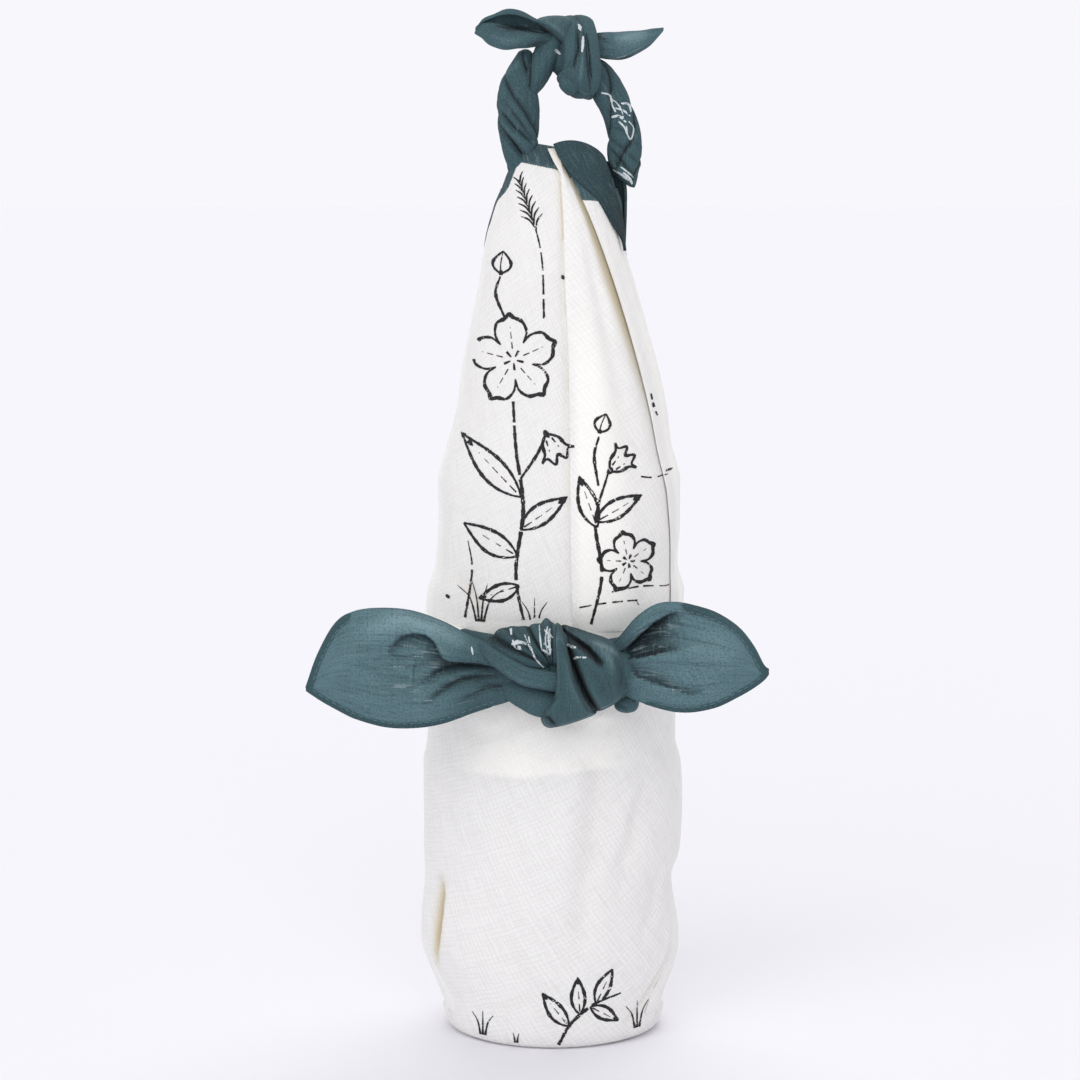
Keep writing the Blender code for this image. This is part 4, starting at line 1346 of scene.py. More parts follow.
@dataclass(frozen=True)
class Strand:
    """A gathered or twisted length of cloth along a smooth middle line.

    Attributes:
        beads: rows of x, y, z, half-width and half-thickness.
        plies: lengthwise folds round it.
        turns: how often they twist round over its length.
        groove: how deep they are, of its half-width.
        pleats: finer folds beside them.
        phase: where the first fold starts.
        facing: the point that its flat side faces, where that isn't the front.
        lines: creases on its front, by x and height.
    """

    beads: tuple[tuple[float, ...], ...]
    plies: int = 3
    turns: float = 0.0
    groove: float = 0.16
    pleats: int = 7
    phase: float = 0.0
    facing: tuple[float, float, float] | None = None
    lines: tuple[Line, ...] = ()
    rows: int = 96
    columns: int = 72

    def surface(self) -> tuple[np.ndarray, np.ndarray]:
        """The strand's grid, closed round it, and its shade."""
        line = evenly(np.asarray(self.beads, float), self.rows)
        middle, wide, thick = line[:, :3], line[:, 3], line[:, 4]
        along = np.gradient(middle, axis=0)
        along /= np.linalg.norm(along, axis=1, keepdims=True)
        if self.facing is None:
            out = np.tile(np.array([0.0, -1.0, 0.0]), (self.rows, 1))
        else:
            out = middle - np.array(self.facing)
        out -= along * (out * along).sum(axis=1, keepdims=True)
        out /= np.linalg.norm(out, axis=1, keepdims=True)
        across = np.cross(along, out)
        turn = np.linspace(0.0, TAU, self.columns, endpoint=False)[None, :]
        share = np.linspace(0.0, 1.0, self.rows)[:, None]
        twist = turn - TAU * self.turns * share + self.phase
        valley = 1.0 - np.abs(np.sin(0.5 * self.plies * twist))
        swell = 1.0 + self.groove * 0.25 - self.groove * valley**3.2
        fine = 1.0 - np.abs(np.sin(0.5 * self.pleats * (twist + 0.9 * np.sin(2.3 * twist))))
        swell = swell - 0.28 * self.groove * fine**4
        swell = swell + 0.02 * Ripples(6.0, 14.0, 0.2, SEED + self.plies)(turn * 6.0, share * 60.0)
        ends = np.clip(np.minimum(share, 1.0 - share) / 0.04, 0.0, 1.0) ** 0.5
        swell = swell * (0.25 + 0.75 * ends)
        across, out = across[:, None, :], out[:, None, :]
        offset = (
            across * (wide[:, None] * swell * np.cos(turn))[..., None]
            + out * (thick[:, None] * swell * np.sin(turn))[..., None]
        )
        grid = middle[:, None, :] + offset
        away = offset / np.maximum(np.linalg.norm(offset, axis=2, keepdims=True), 1e-6)
        ahead = np.clip(-away[..., 1] * 1.6, 0.0, 1.0) * ends
        relief, shade = lay(self.lines, grid[..., 0], grid[..., 2], 2.0)
        grid = grid + away * (relief * ahead)[..., None]
        # Painted shade in the grooves between the plies and on the sides that turn away.
        folds = (0.85 * valley**3.0 + 0.34 * fine**4) * min(1.0, self.groove / 0.16)
        folds = np.maximum(folds, 0.32 * smooth_step(0.72, 1.0, np.abs(np.cos(turn))))
        return grid, np.clip(np.maximum(folds, shade * ahead) + np.minimum(shade * ahead, 0.0), -0.4, 0.9)

    def build(self, tailor: Tailor, name: str) -> bpy.types.Object:
        """Make the strand."""
        points, shade = self.surface()
        patch = Patch(points, layers=0.8, shade=shade, closed=True, capped=True)
        return tailor.sheet(name, patch)


@dataclass(frozen=True)
class Dome:
    """A rounded fold of a knot, given by its outline from the front.

    Attributes:
        outline: x and height of the outline, in order round it.
        front: how far forward it comes.
        back: where its rim ends.
        lines: creases on it, by x and height.
        fullness: how soon it rounds off, larger for flatter.
    """

    outline: tuple[tuple[float, float], ...]
    front: float
    back: float
    lines: tuple[Line, ...] = ()
    fullness: float = 2.6
    rows: int = 48
    columns: int = 120

    def surface(self) -> tuple[np.ndarray, np.ndarray]:
        """The dome's grid, closed round its outline, and its shade."""
        rim = np.asarray(self.outline, float)
        middle = rim.mean(axis=0)
        loop = np.concatenate([rim[-1:], rim, rim[:2]])
        at = 1.0 + np.linspace(0.0, len(rim), self.columns, endpoint=False)
        edge = spline(loop, at)
        share = np.sin(np.linspace(0.0, 0.5, self.rows) * math.pi)[:, None]
        x = middle[0] + (edge[:, 0] - middle[0])[None, :] * share
        z = middle[1] + (edge[:, 1] - middle[1])[None, :] * share
        height = (1.0 - share**self.fullness) ** (1.0 / 1.9)
        y = self.back + (self.front - self.back) * height
        relief, shade = lay(self.lines, x, z, 2.2)
        y = y - relief * np.clip(height * 2.2, 0.0, 1.0)
        # Painted shade darkens the rim, with a painted highlight just inside it.
        shade = shade + (0.44 - 0.2 * shade) * smooth_step(0.93, 1.0, share)
        shade = shade - 0.30 * bell(share, 0.86, 0.05) * smooth_step(0.9, 0.3, shade)
        y = y - 0.12 * Ripples(5.0, 12.0, 0.2, SEED + 9)(x, z) * height
        return np.stack([x, y, z], axis=2), shade

    def build(self, tailor: Tailor, name: str) -> bpy.types.Object:
        """Make the fold."""
        points, shade = self.surface()
        flat = np.stack([points[..., 0], points[..., 2] - 0.6 * points[..., 1]], axis=2)
        flat = np.concatenate([flat, flat[:, :1]], axis=1)
        patch = Patch(points, flat=flat, layers=0.85, shade=shade, closed=True, merged=True)
        return tailor.sheet(name, patch)


@dataclass(frozen=True)
class Fan:
    """The gathered cloth that fans out to the left of the bow's knot.

    Attributes:
        centre: x and height that it fans out from.
        reach: its radius by angle from the right.
        profile: rows of the share of the radius and the depth there.
        valleys: rows of each valley's angle, width and depth.
    """

    centre: tuple[float, float] = (0.2, 137.2)
    reach: tuple = ((55, 84, 99.5, 108, 116, 130, 144, 163, 180, 205),
                    (10, 12.8, 15.9, 14.8, 15.2, 17, 21.4, 25.2, 23, 16))
    profile: tuple = ((0.02, -57), (0.14, -60.2), (0.36, -61.4), (0.62, -60.6), (0.84, -58), (0.96, -54.6),
                      (1, -51),
                      (0.96, -47.6), (0.86, -45))
    valleys: tuple = ((93, 3, 1.8), (107, 4.4, 1.2), (124, 3.4, 2.8), (134, 4, 1), (142, 3, 1.6),
                      (155, 5.4, 2.8))

    def build(self, tailor: Tailor, name: str) -> bpy.types.Object:
        """Make the fan."""
        turn = np.linspace(self.reach[0][0], self.reach[0][-1], 150)[None, :]
        share, y = np.split(evenly(np.array(self.profile), 60), 2, axis=1)
        valleys = sum(depth * np.exp(-np.abs((turn - at) / width) ** 1.3) for at, width,
                      depth in self.valleys)
        crest = np.clip(share * 3.0, 0.0, 1.0)
        y = y + valleys * crest * 0.9 + 0.2 * Ripples(5.0, 14.0, 0.2, SEED + 4)(turn * 0.35, share * 20.0)
        y = y + 4.0 * smooth_step(150.0, 190.0, turn) * share
        radius = share * Smooth(*self.reach)(turn) * (1.0 - 0.03 * valleys)
        x = self.centre[0] + radius * np.cos(np.radians(turn))
        z = self.centre[1] + radius * np.sin(np.radians(turn))
        flat = np.stack(np.broadcast_arrays(np.radians(turn) * 14.0, share * 24.0), axis=2)
        # Painted shade in the valleys.
        patch = Patch(np.stack([x, y, z], axis=2), flat=flat, layers=0.85,
                      shade=np.clip(valleys * crest / 3.0, 0.0, 0.9))
        return tailor.sheet(name, patch)


@dataclass(frozen=True)
class LeafEnd:
    """A small free corner at the top knot, cupped like a leaf.

    Attributes:
        rails: rows of places from root to tip, from the lower edge up.
        gathers: rows of place across, depth and length of the gathers that run out from the root.
        lines: painted shade and painted highlights on it, by x and height.
        layers: how dense the cloth looks.
    """

    rails: tuple[tuple[tuple[float, float, float], ...], ...]
    gathers: tuple[tuple[float, float, float], ...] = ()
    lines: tuple[Line, ...] = ()
    along: int = 130
    across: int = 84
    thickness: float = 0.5
    layers: float = 0.1

    def surface(self) -> np.ndarray:
        """The cupped sheet's grid, with the gathers that run out from its root."""
        points = cage([list(rail) for rail in self.rails], self.along, self.across)
        t = np.linspace(0.0, 1.0, self.along)[:, None]
        w = np.linspace(0.0, 1.0, self.across)[None, :]
        out = outwards(points)
        push = np.zeros((self.along, self.across))
        for place, depth, length in self.gathers:
            push = push + depth * bell(w, place, 0.035) * np.exp(-t / length) * smooth_step(0.0, 0.06, t)
        push = push + 0.22 * Ripples(9.0, 22.0, 0.3, SEED + len(self.rails))(w * 45.0, t * 70.0)
        return points + out * push[..., None]

    def build(self, tailor: Tailor, name: str) -> bpy.types.Object:
        """Make the end."""
        points = self.surface()
        _, shade = lay(self.lines, points[..., 0], points[..., 2], 2.0)
        return tailor.sheet(name, Patch(points, layers=self.layers, shade=shade), thickness=self.thickness)


@dataclass(frozen=True)
class WaistEnd:
    """A free corner of the cloth at the waist bow, folded back along its top.

    Attributes:
        name: the piece's name.
        stations: rows of x, the lower edge's and the top's height, and how far back the cloth lies at the
            lower edge, at a quarter, half and three quarters of its height, and at the top.
        lines: its lip, pockets and creases, with their painted shade and highlights, by x and height.
        hems: for the lower and the top edge, the stations between which it is hemmed.
        returned: how far the cloth folds back and down behind the top.
    """

    name: str
    stations: tuple[tuple[float, ...], ...]
    lines: tuple[Line, ...]
    hems: tuple[tuple[int, int], ...]
    returned: tuple[tuple[float, float], ...] = ((1.6, -0.5), (2.8, -2.6), (3.2, -5.4))
    along: int = 190
    across: int = 120
    thickness: float = 0.5
    hem: float = 2.0
    proud: float = 0.4
    darkest: float = 3.2
    gathered: tuple[float, float] = (0.42, 0.2)

    def edge(self, top: bool) -> np.ndarray:
        """The lower or top hemmed edge, as x and height."""
        first, last = self.hems[1 if top else 0]
        rows = np.array([(row[0], row[2 if top else 1]) for row in self.stations])
        return spline(rows, np.linspace(first, last, 60))

    def surface(self) -> tuple[np.ndarray, np.ndarray, np.ndarray]:
        """The grid, how far each point lies from the nearest hemmed edge, and the shade."""
        rails = []
        for share in range(5):
            rails.append([(x, y[share], low + (top - low) * share / 4.0) for x, low, top,
                          *y in self.stations])
        for back, down in self.returned:
            rails.append([(x, y[4] + back * min(1.0, (top - low) / 12.0),
                           top + down * min(1.0, (top - low) / 12.0))
                          for x, low, top, *y in self.stations])
        points = cage(rails, self.along, self.across)
        x, z = points[..., 0].copy(), points[..., 2].copy()
        front = np.linspace(0.0, 7.0, self.across)[None, :] < 4.1
        relief, shade = lay(self.lines, x, z, self.darkest)
        relief += 0.18 * Ripples(9.0, 22.0, 0.3, SEED + 11)(x, z) + 0.06 * Ripples(3.5, 7.0, 0.2,
                                                                                   SEED + 12)(x, z)
        far = np.full(x.shape, 99.0)
        for top in (False, True):
            _, share, off = Line(tuple(map(tuple, self.edge(top)[::2])), 0.0, 1.0).near(x, z)
            far = np.minimum(far, off + 2.6 * smooth_step(0.14, 0.0, share))
        relief += self.proud * smooth_step(self.hem + 0.25, self.hem - 0.1, far)
        points[..., 1] -= relief * np.where(front, 1.0, 0.0)
        # The folded-back part behind the top gets an even painted shade.
        return points, far, np.where(front, shade, 0.2)

    def build(self, tailor: Tailor) -> bpy.types.Object:
        """Make the end; its hem is doubled cloth."""
        points, far, shade = self.surface()
        layers = 0.05 + 0.7 * smooth_step(*self.gathered, np.linspace(0.0, 1.0, self.along))[:, None]
        layers = layers + (0.95 - layers) * smooth_step(self.hem + 0.1, self.hem - 0.1, far)
        return tailor.sheet(self.name, Patch(points, layers=layers, shade=shade), thickness=self.thickness)


LEFT_LIP = ((-55.5, 142.6), (-53.6, 145.4), (-51.7, 147.5), (-49.0, 148.8), (-45.8, 149.2), (-42.1, 148.6),
            (-39.4, 146.7), (-37.8, 144.0), (-36.8, 141.3), (-34.9, 139.9), (-31.2, 139.4), (-24.2, 138.9),
            (-14.0, 136.0))
BOW_LEFT = WaistEnd(
    "bow_end_left",
    stations=(
        (-6.0, 127.4, 139.2, -49.0, -51.0, -52.0, -51.5, -50.0),
        (-17.0, 124.2, 142.6, -53.0, -56.5, -57.5, -57.8, -54.2),
        (-27.0, 121.3, 146.8, -55.5, -59.2, -59.4, -60.6, -56.4),
        (-37.0, 118.0, 151.9, -57.3, -61.2, -59.2, -61.2, -57.2),
        (-47.0, 116.7, 155.3, -58.2, -61.4, -58.6, -60.6, -57.3),
        (-57.0, 117.3, 156.2, -58.5, -60.9, -59.2, -59.8, -57.3),
        (-66.0, 119.9, 155.2, -58.4, -60.0, -59.6, -59.2, -57.2),
        (-72.5, 123.1, 151.4, -58.2, -59.3, -59.2, -58.6, -57.2),
        (-78.4, 126.4, 141.4, -57.9, -58.4, -58.4, -58.0, -57.3),
        (-82.5, 129.1, 130.3, -57.4, -57.4, -57.4, -57.4, -57.4),
    ),
    lines=(
        Line(LEFT_LIP, -6.2, 6.8, shade=0.86, side=1, ends=0.35),
        # Rows of painted shade and painted highlight across the pocket.
        *(Line(((-58.0, z), (-49.0, z - 0.9), (-40.0, z - 0.3)), 0.0, 0.5, shade=tone)
          for z, tone in ((145.0, 0.7), (143.4, -0.25), (141.8, 0.75), (140.0, -0.4), (138.4, 0.6),
                          (136.6, -0.4),
                          (134.8, 0.4), (133.0, -0.3), (131.2, 0.3))),
        # Painted shade under the lip, and painted highlights along the roll above it.
        Line(LEFT_LIP, -0.6, 1.3, shade=0.75, side=1, ends=0.35),
        Line(tuple((x, z + 2.2) for x, z in LEFT_LIP[1:11]), 1.3, 2.6, shade=-0.5, ends=0.6),
        Line(((-64.0, 149.0), (-50.0, 153.4), (-38.0, 150.0), (-28.0, 144.6)), 0.2, 4.5, shade=-0.85),
        Line(((-20.0, 137.0), (-31.2, 137.6), (-37.3, 135.9), (-44.0, 132.0)), -2.8, 1.7, shade=1.0,
             sharp=True, ends=0.35),
        Line(((-22.0, 136.0), (-30.0, 135.3), (-36.0, 133.4), (-42.0, 130.6)), 1.5, 1.5),
        Line(((-18.0, 134.4), (-31.3, 132.9), (-37.3, 129.2), (-43.0, 125.0)), -2.4, 1.5, shade=0.9,
             sharp=True, ends=0.35),
        Line(((-22.0, 130.6), (-32.0, 128.4), (-42.0, 124.6)), 0.9, 2.0),
        Line(((-10.0, 130.6), (-21.5, 130.4), (-33.0, 125.6)), -1.7, 1.4, shade=0.8, sharp=True),
        Line(((-60.0, 138.0), (-50.0, 133.0), (-44.0, 128.0)), -1.0, 6.0),
        Line(((-76.0, 134.0), (-66.0, 144.0), (-56.0, 150.0)), 0.9, 6.0),
    ),
    hems=((1, 9), (6, 9)),
)
RIGHT_LIP = ((20.0, 139.4), (24.4, 142.9), (29.2, 147.9), (33.6, 151.9), (38.1, 154.8), (41.4, 155.9))
BOW_RIGHT = WaistEnd(
    "bow_end_right",
    stations=(
        (16.0, 129.8, 139.5, -48.0, -49.0, -49.0, -49.0, -47.5),
        (22.0, 127.6, 145.4, -51.0, -53.0, -53.5, -53.0, -50.4),
        (28.0, 125.2, 152.6, -53.0, -56.0, -56.6, -55.0, -52.4),
        (34.5, 123.2, 157.1, -54.6, -57.6, -58.2, -55.6, -54.0),
        (41.0, 121.9, 158.0, -55.8, -58.6, -58.8, -56.0, -55.0),
        (48.0, 122.0, 156.8, -56.6, -58.8, -58.8, -56.6, -55.6),
        (55.0, 123.7, 154.5, -57.1, -58.6, -58.4, -57.0, -56.0),
        (62.0, 127.1, 150.0, -57.2, -58.0, -57.8, -57.0, -56.3),
        (67.0, 130.0, 144.0, -56.9, -57.4, -57.3, -56.9, -56.4),
        (70.4, 132.5, 137.8, -56.6, -56.7, -56.7, -56.5, -56.4),
        (72.2, 134.6, 136.2, -56.2, -56.2, -56.2, -56.2, -56.2),
    ),
    lines=(
        Line(RIGHT_LIP, -4.6, 7.5, shade=1.15, side=1, ends=0.3),
        Line(RIGHT_LIP, -0.6, 1.4, shade=0.9, side=1, ends=0.3),
        Line(((22.5, 143.3), (27.5, 149.5), (33.0, 154.6), (38.5, 157.0)), 0.9, 1.4),
        Line(((22.0, 139.8), (28.0, 143.0), (34.0, 146.4), (42.0, 148.6)), 0.0, 4.2, shade=1.0),
        Line(((20.0, 138.2), (25.8, 139.2), (33.7, 140.9), (43.0, 143.4)), -3.6, 4.8, shade=1.15, side=-1,
             ends=0.35),
        Line(((20.0, 137.4), (30.0, 139.0), (41.0, 141.2), (52.0, 144.6)), 1.7, 2.4, ends=0.4),
        Line(((20.0, 136.6), (25.8, 135.6), (28.6, 132.8), (33.7, 131.6), (39.3, 129.6), (45.0, 128.0),
              (50.0, 128.2)),
             -3.0, 3.4, shade=0.75, side=-1, ends=0.3),
        Line(((20.0, 136.8), (29.8, 135.0), (38.0, 133.8)), -1.3, 0.9, sharp=True),
        Line(((22.0, 131.6), (33.0, 129.4), (44.0, 125.8)), 0.9, 2.0),
        # Painted highlights over the outer part, and as slanting threads below them.
        Line(((42.0, 149.0), (54.0, 147.0), (64.0, 140.0)), 0.8, 5.0, shade=-0.4),
        Line(((40.0, 144.0), (52.0, 143.0), (61.0, 138.0)), 0.2, 5.5, shade=-0.45),
        *(Line(((x, 137.6 + 0.1 * (x - 40.0)), (x + 2.4, 133.6), (x + 5.2, 129.6)), 0.0, 0.45, shade=-0.6)
          for x in (38.6, 41.2, 43.4, 46.4, 48.8, 52.0)),
        Line(((48.0, 137.0), (56.0, 133.0), (62.0, 133.0)), -0.8, 4.0),
    ),
    hems=((2, 10), (4, 10)),
    gathered=(0.26, 0.1),
)


@dataclass(frozen=True)
class Knot:
    """Gathered cloth made of strands, folds and free ends, listed from the innermost out."""

    parts: tuple[tuple[str, Strand | Dome | Fan | LeafEnd], ...]

    def build(self, tailor: Tailor) -> list[bpy.types.Object]:
        """Make each part under its name."""
        return [part.build(tailor, name) for name, part in self.parts]


# In the crease tables a shade above 1 paints a near-black crease shadow, and a shade below 0 a painted
# highlight.
BOW_KNOT = Knot((
    ("bow_core", Strand(
        (
            (-14, -46, 136, 7, 6), (-4, -49, 135, 10.6, 8.4), (9, -49.5, 134, 12.4, 8.6),
            (20, -48.6, 134, 10.4, 8), (27, -46, 135, 6, 6),
        ),
        plies=5, groove=0.08,
    )),
    ("bow_tuck", Strand(
        (
            (-19.5, -48, 133, 3, 3), (-13, -53, 129, 4.4, 4), (-5, -56.5, 125.6, 5.2, 4.6),
            (3, -56, 123.4, 5, 4.4),
        ),
        plies=2, groove=0.12,
    )),
    ("bow_fan", Fan()),
    ("bow_ribbon", Strand(
        (
            (-27.5, -50, 146, 0.8, 0.8), (-24.6, -55.5, 144.6, 1.6, 1.2), (-18.6, -60.4, 140.2, 2.6, 1.6),
            (-10, -62.6, 135.3, 3.2, 1.9), (-1, -63, 133.3, 3.3, 2), (6, -60, 132, 3.2, 2.2),
        ),
        plies=1, groove=0.0, pleats=1,
        lines=creases(
            (-0.5, 0.7, 0, 0.5, 2, -22, 143.2, -11.9, 137.4, -1, 134.8),
            (0.4, 0.8, 0, 0.5, 0, -20, 139.6, -9.4, 133, -0.5, 131.6),
        ),
    )),
    ("bow_bud", Dome(
        (
            (21.4, 126.2), (25.2, 127), (29, 124.4), (28.4, 120.8), (24.4, 119.8), (21, 121.4),
        ),
        front=-53.6, back=-44.0, rows=26, columns=60,
        lines=creases(
            (-0.8, 0.6, 0, 0.5, 0, 21.6, 124, 24.2, 122.6, 25, 120.4),
        ),
    )),
    ("bow_lobe", Dome(
        (
            (2.6, 149.2), (7, 149), (12, 147.4), (18.4, 145.2), (22.8, 142.2), (25.2, 137), (25.6, 131),
            (24, 126), (20.4, 122.8), (14.6, 120.4), (8, 121), (3, 130), (1.6, 140),
        ),
        front=-65.5, back=-46.0, fullness=2.4,
        lines=creases(
            (-4.4, 1, 2.2, 0.25, 0, 2.6, 149, 7, 146.4, 12, 143.2, 16.4, 138.8),
            (0.9, 1, 0, 0.5, 0, 5.4, 146, 10.4, 142, 14.6, 137.4),
            (-4.4, 0.95, 2.2, 0.15, 0, 3, 149.6, 5.4, 143.2, 7.4, 137.8, 10.6, 130.1, 14.7, 122.1, 15.4,
             119.6), (0.9, 2.4, -0.5, 0.5, 0, 14, 145, 18.6, 141.4, 21.6, 135.4),
            (-1.3, 1.1, 0, 0.5, 2, 20.8, 141, 22.9, 135, 22.6, 128.4),
            (-0.8, 1.9, 0, 0.5, 0, 11.6, 139.6, 16, 133, 18.6, 125.6),
            (0.9, 1.7, 0, 0.5, 0, 10.4, 134, 14, 128, 17, 122.2),
            (-0.7, 1, 0, 0.5, 2, 16.6, 137.4, 19.6, 130, 20, 124.6),
        ),
    )),
    ("bow_wrap", Dome(
        (
            (0.8, 149.9), (3, 149.6), (4.2, 146.4), (5.4, 143.1), (8.4, 133), (13.7, 122.4), (14.4, 120.4),
            (8, 117.8), (2.6, 116.2), (-2, 115.7), (-4, 118), (-3.4, 121.8), (-0.2, 125.6), (0.8, 132),
            (1.1, 140),
        ),
        front=-67.2, back=-47.0, fullness=5.0,
        lines=creases(
            (-2.6, 0.9, 0, 0.5, 2, -4, 121, -1.4, 121.4, 0.6, 119, 1, 116.6),
            (-0.7, 1, 0.22, 0.5, 0, 2.4, 148, 3, 138, 3.4, 128, 3, 120),
            (0.7, 0.7, -0.4, 0.5, 0, 1.2, 147, 1.6, 138, 1.4, 128),
            (0.7, 1, 0, 0.5, 0, 4.2, 142, 6.2, 133, 10.4, 123),
            (-0.5, 1.4, 0, 0.5, 0, 2, 126, 6, 121.8, 11, 121),
        ),
    )),
))
